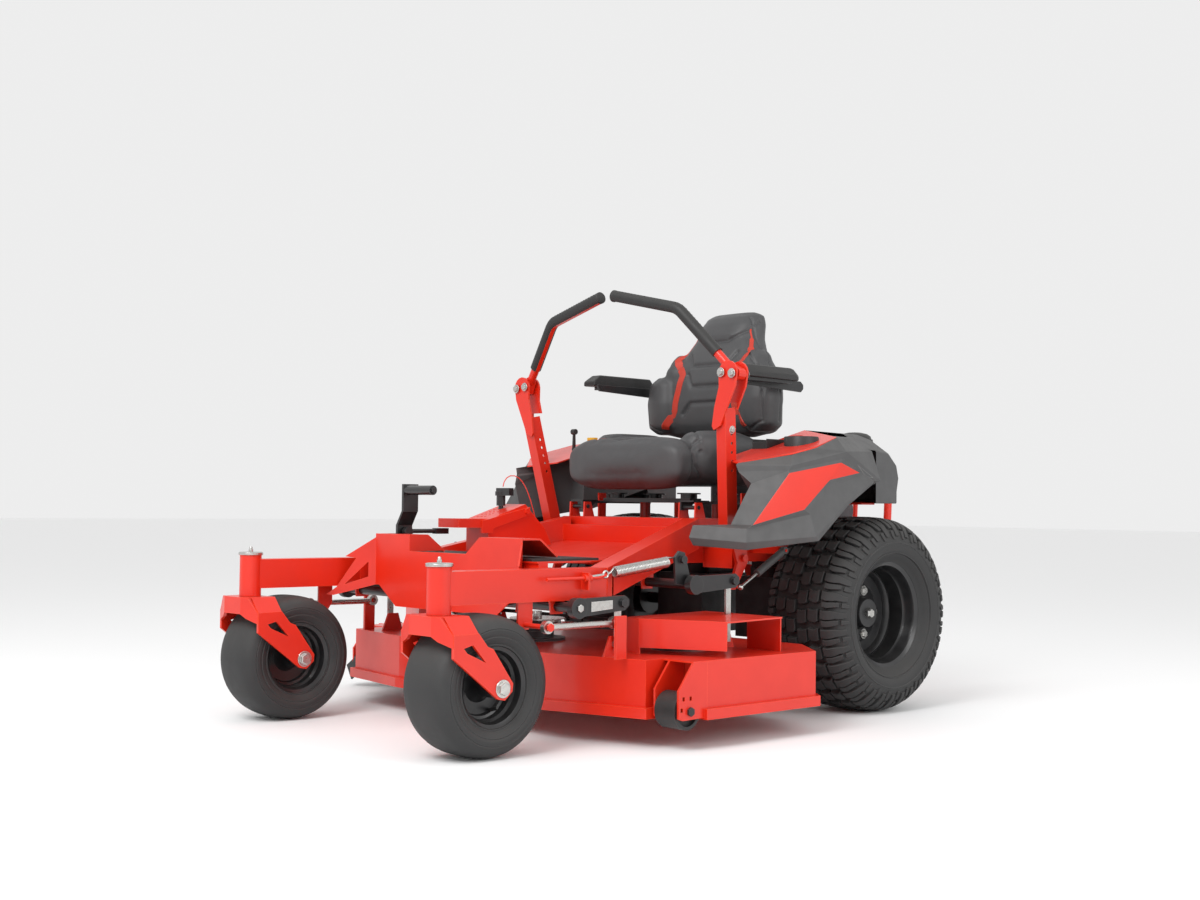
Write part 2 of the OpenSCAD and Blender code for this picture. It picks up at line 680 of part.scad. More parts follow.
module caster_tyre() color([0.17, 0.17, 0.18]) {
    shoulder = 37;
    half = concat([[front_rim_r - 9.7, front_half_rim - 4.7], [front_rim_r + 0.5, front_half_rim - 4.7],
        [front_rim_r + 1, front_half_rim + 6]],
        arc(front_rim_r + 16, front_tyre_w / 2 - 14, 14, 180, 90, 4),
        arc(front_tyre_r - shoulder, front_tyre_w / 2 - shoulder, shoulder, 90, 0, 8));
    wheel(concat(half, mirror_pts(half)), king_x, caster_trail, front_tyre_r);
}

// Rear wheels
rear_half_rim = rear_tyre_w / 2 - 36;
module rear_rim() {
    color(black) difference() {
        wheel([[rear_axle_r + running, -46], [rear_hub_r, -46], [rear_hub_r, -6], [rear_rim_r - 22, -6],
            [rear_rim_r - 22, -rear_half_rim + 12], [rear_rim_r - 6, -rear_half_rim], [rear_rim_r, -rear_half_rim],
            [rear_rim_r, -rear_half_rim + 6], [rear_rim_r - 14, -rear_half_rim + 7],
            [rear_rim_r - 14, rear_half_rim - 7], [rear_rim_r, rear_half_rim - 6], [rear_rim_r, rear_half_rim],
            [rear_rim_r - 6, rear_half_rim], [rear_rim_r - 22, rear_half_rim - 12], [rear_rim_r - 22, 4],
            [rear_hub_r, 4], [rear_hub_r - 8, 38], [rear_axle_r + running, 38]],
            rear_track / 2, wheelbase, rear_tyre_r);
        for (i = [0 : 4]) translate([rear_track / 2, wheelbase, rear_tyre_r]) rotate([i * 72 + 36, 0, 0])
            pin_x([-10, 8], 88, 0, 11);
    }
    color(zinc) for (i = [0 : 4]) translate([rear_track / 2, wheelbase, rear_tyre_r]) rotate([i * 72, 0, 0])
        hex_x(3, 62, 0, 11, 15);
}

module rear_tyre() color([0.13, 0.13, 0.14]) {
    half = concat([[rear_rim_r - 13.7, rear_half_rim - 7.3], [rear_rim_r + 0.5, rear_half_rim - 6.6],
        [rear_rim_r + 2, rear_half_rim + 6]],
        arc(rear_rim_r + 52, rear_tyre_w / 2 - 44, 44, 150, 95, 4),
        arc(rear_tyre_r - 46, rear_tyre_w / 2 - 48, 46, 80, 8, 8), [[rear_tyre_r, rear_tyre_w / 2 - 70]]);
    wheel(concat(half, mirror_pts(half)), rear_track / 2, wheelbase, rear_tyre_r);
}

// Control levers
head_outline = concat(arc(430, 942, 33, 175, 5, 8),
    [[456, 905], [404, 800], [380, 789], [374, 800], [382, 850], [398, 905]]);
module lever_post() color(red) {
    // Lower arm on the pivot pin
    difference() {
        side_plate([[lever_pivot[1] - 22, lever_pivot[2] - 14], [damper_ball[1] - 10, damper_ball[2] - 8],
            [damper_ball[1] + 10, damper_ball[2] - 8], [lever_pivot[1] + 20, lever_pivot[2] - 10],
            [lever_pivot[1] + 16, lever_pivot[2] + 20], [post_base[1] + 18, post_base[2]],
            [post_base[1] - 20, post_base[2]]], lever_pivot[0] - 6, 10);
        pin_x([lever_pivot[0] - 8, lever_pivot[0] + 8], lever_pivot[1], lever_pivot[2], lever_pin_r + running);
    }
    pin_x([lever_pivot[0] + 3, damper_x - 9], damper_ball[1], damper_ball[2], 4);
    // Channel section of the post
    d = post_top - post_base;
    lean_x = atan2(d[0], d[2]);
    lean_y = atan2(-d[1], d[2]);
    translate(post_base - [0, 0, 12]) rotate([lean_y, lean_x, 0]) difference() {
        translate([-post_w / 2, -post_d / 2, 0]) cube([post_w, post_d, norm(d) + 12]);
        translate([-post_w / 2 + 4, -post_d / 2 + 4, 20]) cube([post_w - 8, post_d + 1, norm(d)]);
        for (i = [0 : 4]) pin_x([-post_w, post_w], 4, norm(d) - 60 - i * 25, 4.5);
    }
    // Head plates in front of and behind the tube
    for (y = [head_y[0], head_y[1] + 0.2]) difference() {
        front_plate(head_outline, y, head_t);
        if (y > head_y[0]) block([370, 392 + post_w], [y - 1, y + head_t + 1], [780, 864]);
    }
    pin_y(head_pivot[0], [head_y[0] - 6, head_y[1] + head_t + 6], head_pivot[1], 6);
    pin_y(head_stop[0] - 1, [head_y[0] - 6, head_y[0] + 1], head_stop[1], 9);
}

module lever_tube() {
    color(red) difference() {
        union() {
            translate([0, head_y[1] - 4, 0]) rotate([90, 0, 0]) linear_extrude(head_y[1] - head_y[0] - head_t - 8)
                polygon(concat(arc(head_pivot[0], head_pivot[1], 16, -120, 60, 6), [[412, 975], [402, 968], [420, 925]]));
            tube_path(tube_points, lever_r);
        }
        pin_y(head_pivot[0], [head_y[0], head_y[1] + 10], head_pivot[1], 6 + running);
    }
}

// Foam grip over the bent upper part of the tube, with room for the tube
module lever_grip() color(black) difference() {
    a = tube_points[1];
    b = tube_points[2];
    c = tube_points[3];
    tube_path([a + (b - a) * 0.02, b, c + (c - b) * 0.02], grip_r);
    tube_path([a - (b - a) * 0.1, b, c], lever_r + 0.02);
}

module damper_cylinder() color(black) {
    d = unit(damper_ball - damper_mount);
    difference() {
        union() {
            bar(damper_mount + d * 14, damper_mount + d * 130, damper_body_r);
            pin_x([damper_x - 8, damper_x + 7], damper_mount[1], damper_mount[2], 10);
            bar(damper_mount + d * 4, damper_mount + d * 20, 6);
        }
        pin_x([damper_x - 9, damper_x + 8], damper_mount[1], damper_mount[2], 4 + running);
        bar(damper_mount + d * 24, damper_mount + d * 131, damper_rod_r + running);
    }
}

module damper_rod() color(zinc) {
    d = unit(damper_ball - damper_mount);
    bar(damper_mount + d * 70, damper_ball - d * 6, damper_rod_r);
    translate(damper_ball) sphere(r = 8);
}

// Seat
module seat_plate() color(black) {
    union() {
        union() {
            block([-250, 250], [seat_box_y + 60, 1300], [592, 596]);
            both() block([203, 256], [seat_box_y - 2, seat_box_y + 62], [594, 598]);
            both() side_plate([[seat_box_y - 2, 570], [seat_box_y + 26, 570], [seat_box_y + 60, 597],
                [seat_box_y - 2, 597]], 203, 5);
            both() block([206, 230], [seat_box_y + 50, 1290], [588, 592 + eps]);
            both() pin_x([192, 264], seat_hinge[1], seat_hinge[2], 6);
        }
    }
    // Suspension springs between the plate and the seat
    both() for (y = [1090, 1250]) {
        pin_z(150, y, [596 - eps, 616], 24);
        pin_z(150, y, [616 - eps, 620], 34);
    }
    block([-180, 180], [seat_box_y + 62, 1110], [596 - eps, 604]);
}

module cushion_outline(r) {
    hull() for (x = [-1, 1], y = [0, 1])
        translate([x * (cushion_w / 2 - r), y ? seat_rear_y - r : seat_front_y + r]) circle(r = r, $fn = 32);
}
module seat_cushion() color([0.22, 0.22, 0.23]) {
    translate([0, 0, cushion_z]) linear_extrude(cushion_h - 20) cushion_outline(70);
    both() block([cushion_w / 2 - 110, cushion_w / 2 - 10], [seat_front_y + 60, seat_rear_y - 40],
        [cushion_z + cushion_h - 20 - eps, cushion_z + cushion_h]);
    // Seat pan with its slide runners
    block([-200, 200], [seat_front_y + 50, seat_rear_y - 20], [cushion_z - 8, cushion_z + eps]);
    both() block([132, 168], [1060, 1300], [620.3, cushion_z - 8 + eps]);
}

module seat_back() color([0.22, 0.22, 0.23])
    translate([0, back_y, back_bottom_z]) rotate([-back_lean, 0, 0]) {
        h = back_top_z - back_bottom_z;
        front_plate([[-250, 0], [250, 0], [262, 120], [250, 190], [165, 290], [145, h - 20], [120, h], [-120, h],
            [-145, h - 20], [-165, 290], [-250, 190], [-262, 120]], 14, 84);
        block([-230, 230], [32, 90], [-105, eps]);
        // Armrest pins
        both() pin_x([225, arm_x + 14], 64, 150, 8);
    }

module armrest() {
    // The pin line lies in the leaning back
    pin_line = [back_y + 64 * cos(back_lean) + 150 * sin(back_lean), back_bottom_z - 64 * sin(back_lean) + 150 * cos(back_lean)];
    color(black) difference() {
        union() {
            side_plate([[1130, pin_line[1] - 2], [pin_line[0] + 14, pin_line[1] - 14], [pin_line[0] + 18, pin_line[1] + 4],
                [pin_line[0] + 6, pin_line[1] + 18], [1120, pin_line[1] + 18]], arm_x + 1, 8);
            block([arm_x + 4, arm_x + arm_w], [1105, 1375], [pin_line[1] + 12, pin_line[1] + 46]);
        }
        pin_x([arm_x - 2, arm_x + 15], pin_line[0], pin_line[1], 8 + running);
    }
}

// Deck
pocket_x = deck_half - 98;
pocket_y = 606;
deck_outline = [[-300, deck_front_y - 6], [307, deck_front_y + 6], [pocket_x, deck_front_y + 85],
    [pocket_x, pocket_y], [deck_half, pocket_y], [deck_half, deck_rear_y - 125],
    [deck_half - 150, deck_rear_y], [-deck_half + 150, deck_rear_y], [-deck_half, deck_rear_y - 125],
    [-deck_half, pocket_y], [-pocket_x, pocket_y], [-pocket_x, deck_front_y + 40]];
module deck_shell() color(red) {
    difference() {
        union() {
            translate([0, 0, deck_bottom]) linear_extrude(deck_depth) polygon(deck_outline);
            translate([0, 0, deck_bottom]) linear_extrude(deck_lip_h) polygon(inset(deck_outline, -deck_lip));
        }
        translate([0, 0, deck_bottom - 1]) linear_extrude(deck_depth + 1 - deck_wall) polygon(inset(deck_outline, deck_wall));
        for (s = spindles()) pin_z(s[0], s[1], [deck_top - 20, deck_top + 20], housing_r + 1);
        block([-deck_half - 30, -deck_half + 20], [chute_y0, chute_y1], [deck_bottom + 12, deck_top - 22]);
    }
    both() scalp_bracket();
    both() {
        // Uprights for the drag links and hangers
        block([drag_x + 16, drag_x + 24], [442, 476], [deck_top - eps, 316]);
        pin_x([drag_x + 9, drag_x + 17], 456, 300, 6);
        side_plate([[462, deck_top - eps], [532, deck_top - eps], [516, 262], [482, 262]], 464, 6);
        side_plate([[862, deck_top - eps], [932, deck_top - eps], [914, 262], [880, 262]], 464, 6);
    }
    // Hinge ears of the chute
    for (y = [chute_y0 - 24, chute_y1 + 14]) difference() {
        block([-deck_half - 26, -deck_half + 6], [y, y + 10], [deck_top - 24, deck_top]);
        pin_y(-chute_hinge_x, [y - 1, y + 11], chute_hinge_z, hinge_pin_r + running);
    }
}

function spindles() = [[blade_spacing, side_blade_y], [0, middle_blade_y], [-blade_spacing, side_blade_y]];

module scalp_bracket() {
    outer = [[506, 145], [507, 80], [521, 75], [596, 77], [604, 90], [604, deck_top - 3], [556, deck_top - 3]];
    for (x = [scalp_x - scalp_w / 2 - 9, scalp_x + scalp_w / 2 + 3]) difference() {
        side_plate(outer, x, 6);
        pin_x([x - 1, x + 7], scalp_y, scalp_z, 8 + running);
        for (p = [[523, 126], [547, 126], [517, 100]]) if (norm(p - [scalp_y, scalp_z]) > 24)
            block([x - 1, x + 7], [p[0] - 4, p[0] + 4], [p[1] - 5, p[1] + 5]);
    }
    block([pocket_x - 1, scalp_x + scalp_w / 2 + 9], [556, pocket_y + 1], [deck_top - 4, deck_top]);
}

module scalp_wheel() {
    color(black) difference() {
        pin_x([scalp_x - scalp_w / 2, scalp_x + scalp_w / 2], scalp_y, scalp_z, scalp_r);
        pin_x([scalp_x + scalp_w / 2 - 10, scalp_x + scalp_w / 2 + 1], scalp_y, scalp_z, scalp_r - 8);
        pin_x([scalp_x - scalp_w / 2 - 1, scalp_x - scalp_w / 2 + 10], scalp_y, scalp_z, scalp_r - 8);
    }
    color(zinc) {
        pin_x([scalp_x - scalp_w / 2 - 10, scalp_x + scalp_w / 2 + 10], scalp_y, scalp_z, 8);
        hex_x(scalp_x + scalp_w / 2 + 9.5, scalp_y, scalp_z, 11, 6);
    }
}

// A wall of the belt cover from a to b, down to a height
module cover_wall(a, b, low) {
    d = b - a;
    translate([a[0], a[1], 0]) rotate([0, 0, atan2(d[1], d[0])]) block([0, norm(d)], [0, 4], [low, cover_z - 1]);
}

module belt_covers() color(red) both() {
    top = [[403, 598], [462, 588], [667, 689], [632, 938], [366, 934]];
    difference() {
        translate([0, 0, cover_z - 4]) linear_extrude(4) polygon(top);
        // Room for the rear hanger
        block([lift_arm_x - 22, lift_arm_x + 4], [872, 922], [cover_z - 10, cover_z + 10]);
    }
    // Front skirt and two walls that stand on the deck
    cover_wall([462, 588], [667, 689], deck_top + 16);
    cover_wall([403, 599], [462, 589], deck_top + 0.3);
    cover_wall([632, 934], [520, 932], deck_top + 0.3);
}

module spindle_housings() color(dark) for (s = spindles()) difference() {
    union() {
        pin_z(s[0], s[1], [deck_top, deck_top + 8], 78);
        pin_z(s[0], s[1], [deck_top + 8 - eps, deck_top + 26], 46);
        pin_z(s[0], s[1], [deck_top - 56, deck_top + 36], housing_r);
    }
    pin_z(s[0], s[1], [deck_top - 60, deck_top + 60], spindle_r + running);
}

module spindle(s) {
    color(zinc) pin_z(s[0], s[1], [blade_z - 14, pulley_z + pulley_h + 8], spindle_r);
    color(dark) translate([s[0], s[1], pulley_z - pulley_h / 2]) rotate_extrude()
        polygon([[spindle_r - 1, 0], [pulley_r + belt_t + 2, 0], [pulley_r + belt_t + 2, 3], [pulley_r - 1, 3.5],
            [pulley_r - 1, pulley_h - 3.5], [pulley_r + belt_t + 2, pulley_h - 3], [pulley_r + belt_t + 2, pulley_h],
            [spindle_r - 1, pulley_h]]);
    color(black) {
        translate([s[0], s[1], blade_z]) rotate([0, 0, 20]) {
            block([-blade_len / 2, blade_len / 2], [-30, 30], [-6, 0]);
            for (turn = [0, 180]) rotate([0, 0, turn])
                side_plate([[30, 0], [30, -6], [50, 16], [48, 20]], blade_len / 2 - 90, 86);
        }
        pin_z(s[0], s[1], [blade_z - 16, blade_z + 20], 24);
    }
}

module belt_path(r) {
    hull() for (s = spindles()) translate([s[0], s[1]]) circle(r = r, $fn = 32);
}
module deck_belt() color(black) translate([0, 0, pulley_z - 5]) linear_extrude(10) difference() {
    belt_path(pulley_r + belt_t);
    belt_path(pulley_r);
}

module discharge_chute() color(black) {
    length = chute_y1 - chute_y0 - 8;
    translate([-chute_hinge_x, chute_y0 + 4, chute_hinge_z]) {
        rotate([0, -32, 0]) {
            block([-chute_reach, -8], [0, length], [-3, 3]);
            for (y = [0, length - 5]) block([-chute_reach, -26], [y, y + 5], [-48, -2]);
        }
        for (y = [6, length - 46]) pin_y(0, [y, y + 40], 0, 11);
        pin_y(0, [-32, length + 32], 0, hinge_pin_r);
    }
}

// Straps between the lift arms and the deck, with their adjusting nuts
module hanger_rods() color(zinc) both() {
    x = lift_arm_x - hanger_gap - hanger_t;
    for (p = [[498, 242, 352], [897, 242, 396]]) {
        block([x, x + hanger_t], [p[0] - 9, p[0] + 9], [p[1] - 14, p[2]]);
        hex_x(x - 5.7, p[0], p[1], 10, 5.7 + eps);
        pin_x([470.3, x + eps], p[0], p[1], 6);
    }
}

module drag_links() color(zinc) both() difference() {
    union() {
        pin_y(drag_x, [drag_y + 8, drag_y + drag_len - 12], drag_z, 8);
        pin_x([drag_x - 7, drag_x + 7], drag_y, drag_z, 15);
        pin_x([drag_x - 7, drag_x + 7], drag_y + drag_len, drag_z + 2, 15);
    }
    pin_x([drag_x - 9, drag_x + 9], drag_y, drag_z, 6 + running);
    pin_x([drag_x - 9, drag_x + 9], drag_y + drag_len, drag_z + 2, 8);
}

// A lift arm with its round boss, towards the rear
module lift_arm(y, z, tip_z) {
    tip = [y + lift_arm_len, tip_z];
    color(black) {
        side_plate([[y - 4, z - 22], [tip[0] + 4, tip_z - 18], [tip[0] + 18, tip_z - 6], [tip[0] + 18, tip_z + 8],
            [tip[0] + 4, tip_z + 18], [y - 4, z + 22]], lift_arm_x, lift_arm_t);
        pin_x([lift_arm_x - 4, lift_arm_x + lift_arm_t + 2], y, z, lift_boss_r);
    }
    color(zinc) hex_x(lift_arm_x + lift_arm_t, tip[0] - 4, tip_z, 11, 8);
}

module front_lift() {
    color(black) pin_x([-lift_arm_x - 2, lift_arm_x + 2], front_lift_y, front_lift_z, lift_shaft_r);
    both() lift_arm(front_lift_y, front_lift_z, front_tip_z);
}

module rear_lift() {
    color(black) pin_x([-lift_arm_x - 2, lift_arm_x + 2], rear_lift_y, rear_lift_z, lift_shaft_r);
    both() {
        lift_arm(rear_lift_y, rear_lift_z, rear_tip_z);
        color(black) side_plate([[rear_lift_y - 46, rear_lift_z + 2], [rear_lift_y + 2, rear_lift_z - 4],
            [rear_lift_y + 8, rear_lift_z + 12], [rear_lift_y - 14, rear_lift_z + 82],
            [rear_lift_y - 34, rear_lift_z + 86], [rear_lift_y - 50, rear_lift_z + 70]], spring_x + 5, 7);
        color(zinc) pin_x([spring_x + 11, spring_x + 22], rear_lift_y - 24, rear_lift_z + 64, 10);
    }
}

module assist_springs() color(zinc) both() {
    bar(spring_front, spring_rear, spring_r);
    bar([spring_x, 478, 412], spring_front + [0, 4, 0], 2.5);
    bar(spring_rear - [0, 4, 0], [spring_x, rear_lift_y - 24, rear_lift_z + 62], 2.5);
}

module lift_pedal() {
    jog = 26;
    color(black) {
        difference() {
            union() {
                block([pedal_x - pedal_t / 2, pedal_x + pedal_t / 2], [pedal_y - pedal_w / 2, pedal_y + pedal_w / 2], [350, 522]);
                front_plate([[pedal_x - pedal_t / 2, 520], [pedal_x - pedal_t / 2 + jog, 560],
                    [pedal_x + pedal_t / 2 + jog, 560], [pedal_x + pedal_t / 2, 520]], pedal_y - pedal_w / 2, pedal_w);
                block([pedal_x - pedal_t / 2 + jog, pedal_x + pedal_t / 2 + jog],
                    [pedal_y - pedal_w / 2, pedal_y + pedal_w / 2], [558, 634]);
            }
            pin_x([pedal_x - 10, pedal_x + 10], pedal_y, pedal_pivot_z, 8 + running);
        }
        pin_x([pedal_x + jog + 3, pedal_x + jog + 122], pedal_y - 12, 617, 13);
        pin_x([pedal_x + 3, pedal_x + 8], pedal_y, lift_rod_z, 9);
    }
    color(zinc) hex_x(pedal_x + jog + 122 - eps, pedal_y - 12, 617, 9, 6);
}

module lift_rod() color(black) {
    x = pedal_x + 18;
    pin_y(x, [pedal_y, 498], lift_rod_z + 1, 6);
    pin_x([x - 7, x + 7], pedal_y, lift_rod_z, 13);
    block([x - 9, x + 9], [496, 540], [lift_rod_z - 7, lift_rod_z + 9]);
}

frame();
front_cover();
foot_pan();
foot_mat();
seat_box();
fender_left();
fender_right();
fuel_tanks();
engine();
transaxles();
depth_console();
pin_lanyard();
fuel_cap();
throttle_lever();
blade_switch();
ignition_key();
on_side(1) caster_fork();  // caster_fork_left
on_side(1) caster_rim();  // caster_rim_left
on_side(1) caster_tyre();  // caster_tyre_left
on_side(-1) caster_fork();  // caster_fork_right
on_side(-1) caster_rim();  // caster_rim_right
on_side(-1) caster_tyre();  // caster_tyre_right
on_side(1) rear_rim();  // rear_rim_left
on_side(1) rear_tyre();  // rear_tyre_left
on_side(-1) rear_rim();  // rear_rim_right
on_side(-1) rear_tyre();  // rear_tyre_right
on_side(1) lever_post();  // lever_post_left
on_side(1) lever_tube();  // lever_tube_left
on_side(1) lever_grip();  // lever_grip_left
on_side(-1) lever_post();  // lever_post_right
on_side(-1) lever_tube();  // lever_tube_right
on_side(-1) lever_grip();  // lever_grip_right
on_side(1) damper_cylinder();  // damper_left
on_side(1) damper_rod();  // damper_rod_left
on_side(-1) damper_cylinder();  // damper_right
on_side(-1) damper_rod();  // damper_rod_right
seat_plate();
seat_cushion();
seat_back();
on_side(1) armrest();  // armrest_left
on_side(-1) armrest();  // armrest_right
deck_shell();
belt_covers();
spindle_housings();
deck_belt();
spindle(spindles()[0]);  // spindle_left
spindle(spindles()[1]);  // spindle_centre
spindle(spindles()[2]);  // spindle_right
on_side(1) scalp_wheel();  // scalp_wheel_left
on_side(-1) scalp_wheel();  // scalp_wheel_right
discharge_chute();
hanger_rods();
drag_links();
front_lift();
rear_lift();
assist_springs();
lift_pedal();
lift_rod();
height_pin();
clutch_pulley();
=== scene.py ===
# %% [markdown]
# # A zero turn mower, piece by piece
# The mower stands on its four tyres with its front towards -Y and the operator's left towards +X.
# The metal parts arrive as solids made to size. This lesson dresses them: each one gets a finish,
# and the tyres, seat, fenders, springs and small hardware are modelled in full.

# %% Load the solids
import json
import math

import bmesh
import bpy
from mathutils import Matrix, Vector


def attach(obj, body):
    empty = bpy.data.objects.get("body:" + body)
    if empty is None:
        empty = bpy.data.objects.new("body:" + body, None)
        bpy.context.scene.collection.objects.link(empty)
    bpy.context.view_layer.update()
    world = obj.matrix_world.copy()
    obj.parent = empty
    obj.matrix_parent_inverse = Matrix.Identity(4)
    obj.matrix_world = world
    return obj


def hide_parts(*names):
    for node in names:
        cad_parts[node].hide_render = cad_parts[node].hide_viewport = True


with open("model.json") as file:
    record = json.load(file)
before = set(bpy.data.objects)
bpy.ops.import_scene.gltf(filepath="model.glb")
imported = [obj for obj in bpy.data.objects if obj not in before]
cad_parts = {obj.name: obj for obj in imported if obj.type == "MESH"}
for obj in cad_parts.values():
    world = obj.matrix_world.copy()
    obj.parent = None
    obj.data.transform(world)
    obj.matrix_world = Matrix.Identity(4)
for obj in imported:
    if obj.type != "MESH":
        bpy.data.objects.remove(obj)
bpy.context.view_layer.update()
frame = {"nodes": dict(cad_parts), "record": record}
solids = frame["nodes"]

# %% [markdown]
# ## The camera
# A machine on its own looks largest from a low stand beside a front corner. The camera stands a little
# over knee high, turned 47 degrees round the left front corner, with a slight upward tilt. A matrix made of
# its three directions says exactly where it looks, which is easier to check than three Euler angles.

# %% Camera
stand = Vector((3.2003, -2.0974, 0.5832))
turn, tilt, roll = math.radians(47.086), math.radians(2.048), math.radians(0.663)
ahead = Vector((-math.sin(turn) * math.cos(tilt), math.cos(turn) * math.cos(tilt), math.sin(tilt)))
level = Vector((math.cos(turn), math.sin(turn), 0))
upward = level.cross(ahead)
across = level * math.cos(roll) + upward * math.sin(roll)
over = upward * math.cos(roll) - level * math.sin(roll)

camera_data = bpy.data.cameras.new("camera")
camera_data.sensor_width = 36
camera_data.lens = 45.87
camera_data.clip_end = 200
camera = bpy.data.objects.new("camera", camera_data)
bpy.context.scene.collection.objects.link(camera)
camera.matrix_world = Matrix((
    (across.x, over.x, -ahead.x, stand.x),
    (across.y, over.y, -ahead.y, stand.y),
    (across.z, over.z, -ahead.z, stand.z),
    (0, 0, 0, 1)))
bpy.context.scene.camera = camera
print("camera", [round(v, 3) for v in stand], "lens", camera_data.lens)

# %% [markdown]
# ## The pin's wire
# The height pin hangs on a thin coated wire so that it can't be lost. The wire is springy, so it stands
# in one arc between the pin and its anchor on the console. A curve object with a round section is the
# natural way to model a wire: its points are the route and its bevel depth is the radius.

# %% Pin wire
wire_route = [(-0.232, 0.712, 0.632), (-0.232, 0.716, 0.646), (-0.230, 0.724, 0.658), (-0.227, 0.735, 0.664),
              (-0.223, 0.748, 0.664), (-0.218, 0.760, 0.658), (-0.213, 0.770, 0.646), (-0.208, 0.778, 0.630),
              (-0.203, 0.784, 0.612), (-0.199, 0.789, 0.594), (-0.196, 0.793, 0.576), (-0.194, 0.797, 0.562),
              (-0.193, 0.800, 0.550), (-0.192, 0.802, 0.540)]
wire_diameter = 0.003
wire_curve = bpy.data.curves.new("pin_wire", "CURVE")
wire_curve.dimensions = "3D"
wire_curve.bevel_depth = wire_diameter / 2
wire_curve.bevel_resolution = 3
wire_curve.use_fill_caps = True
spline = wire_curve.splines.new("POLY")
spline.points.add(len(wire_route) - 1)
for point, place in zip(spline.points, wire_route):
    point.co = (*place, 1)
pin_wire = bpy.data.objects.new("pin_wire", wire_curve)
bpy.context.scene.collection.objects.link(pin_wire)

# %% [markdown]
# ## Shared effects
# Several finishes share the same small effects: a fine mottle, a painted highlight that makes paint a little
# lighter on an edge, dust that settles on level faces, and a small cellular grain. Each one is a shader node
# group with named inputs, so a finish only says how much of it to use. They give out a mask or a value and no
# shader.

# %% Group helpers
def new_group(name, inputs, outputs):
    group = bpy.data.node_groups.new(name, "ShaderNodeTree")
    for label, value in inputs:
        socket = group.interface.new_socket(label, in_out="INPUT", socket_type="NodeSocketFloat")
        socket.default_value = value
    for label in outputs:
        group.interface.new_socket(label, in_out="OUTPUT", socket_type="NodeSocketFloat")
    return group, group.nodes.new("NodeGroupInput"), group.nodes.new("NodeGroupOutput")


def add(tree, kind, **settings):
    node = tree.nodes.new(kind)
    for key, value in settings.items():
        setattr(node, key, value)
    return node


def math_node(tree, operation, first, second=None, clamp=False):
    node = add(tree, "ShaderNodeMath", operation=operation, use_clamp=clamp)
    for slot_number, source in enumerate((first, second)):
        if source is None:
            continue
        if isinstance(source, (int, float)):
            node.inputs[slot_number].default_value = source
        else:
            tree.links.new(source, node.inputs[slot_number])
    return node.outputs[0]


# %% Mottle: soft noise between 0 and 1
mottle, mottle_in, mottle_out = new_group("mottle", [("Scale", 40), ("Contrast", 2)], ["Value"])
coords = add(mottle, "ShaderNodeTexCoord")
cloud = add(mottle, "ShaderNodeTexNoise")
cloud.inputs["Detail"].default_value = 4
mottle.links.new(coords.outputs["Object"], cloud.inputs["Vector"])
mottle.links.new(mottle_in.outputs["Scale"], cloud.inputs["Scale"])
centred = math_node(mottle, "SUBTRACT", cloud.outputs["Fac"], 0.5)
widened = math_node(mottle, "MULTIPLY", centred, mottle_in.outputs["Contrast"])
mottle.links.new(math_node(mottle, "ADD", widened, 0.5, clamp=True), mottle_out.inputs["Value"])
print("group", mottle.name)

# %% Edge: 1 where a sharp edge bends the rounded normal away from the flat one; the finishes paint a highlight there
edge, edge_in, edge_out = new_group("edge", [("Radius", 0.003), ("Strength", 3)], ["Mask"])
rounded = add(edge, "ShaderNodeBevel", samples=4)
edge.links.new(edge_in.outputs["Radius"], rounded.inputs["Radius"])
flat_normal = add(edge, "ShaderNodeNewGeometry")
likeness = add(edge, "ShaderNodeVectorMath", operation="DOT_PRODUCT")
edge.links.new(rounded.outputs["Normal"], likeness.inputs[0])
edge.links.new(flat_normal.outputs["Normal"], likeness.inputs[1])
bend = math_node(edge, "SUBTRACT", 1.0, likeness.outputs["Value"])
edge.links.new(math_node(edge, "MULTIPLY", bend, edge_in.outputs["Strength"], clamp=True),
               edge_out.inputs["Mask"])
print("group", edge.name)

# %% Dust: patches on faces that look up
dust, dust_in, dust_out = new_group("dust", [("Scale", 6), ("Amount", 0.3)], ["Mask"])
facing = add(dust, "ShaderNodeNewGeometry")
split = add(dust, "ShaderNodeSeparateXYZ")
dust.links.new(facing.outputs["Normal"], split.inputs[0])
dust_coords = add(dust, "ShaderNodeTexCoord")
patches = add(dust, "ShaderNodeTexNoise")
patches.inputs["Detail"].default_value = 6
patches.inputs["Roughness"].default_value = 0.65
dust.links.new(dust_coords.outputs["Object"], patches.inputs["Vector"])
dust.links.new(dust_in.outputs["Scale"], patches.inputs["Scale"])
above = math_node(dust, "MAXIMUM", split.outputs["Z"], 0.0)
patchy = math_node(dust, "MULTIPLY", above, patches.outputs["Fac"])
dust.links.new(math_node(dust, "MULTIPLY", patchy, dust_in.outputs["Amount"], clamp=True),
               dust_out.inputs["Mask"])
print("group", dust.name)

# %% Grain: small closed cells, as on moulded plastic and vinyl
grain, grain_in, grain_out = new_group("grain", [("Scale", 700)], ["Value"])
grain_coords = add(grain, "ShaderNodeTexCoord")
cells = add(grain, "ShaderNodeTexVoronoi", feature="SMOOTH_F1")
cells.inputs["Smoothness"].default_value = 0.6
grain.links.new(grain_coords.outputs["Object"], cells.inputs["Vector"])
grain.links.new(grain_in.outputs["Scale"], cells.inputs["Scale"])
grain.links.new(cells.outputs["Distance"], grain_out.inputs["Value"])
print("group", grain.name)

# %% [markdown]
# ## The finishes
# The mower has few finishes, and each covers many parts: a glossy orange-red powder coat, black powder
# coat, bright zinc, grey and black moulded plastic, tyre rubber, ribbed rubber, stitched vinyl, castings.
# One helper makes a material with two close colours mixed by the mottle, a painted highlight that lightens
# sharp edges, a little dust, a bump and a varied roughness; each finish then gives its own values.

# %% Finish helper
def use(tree, group, **values):
    node = add(tree, "ShaderNodeGroup", node_tree=group)
    for label, value in values.items():
        node.inputs[label].default_value = value
    return node.outputs[0]


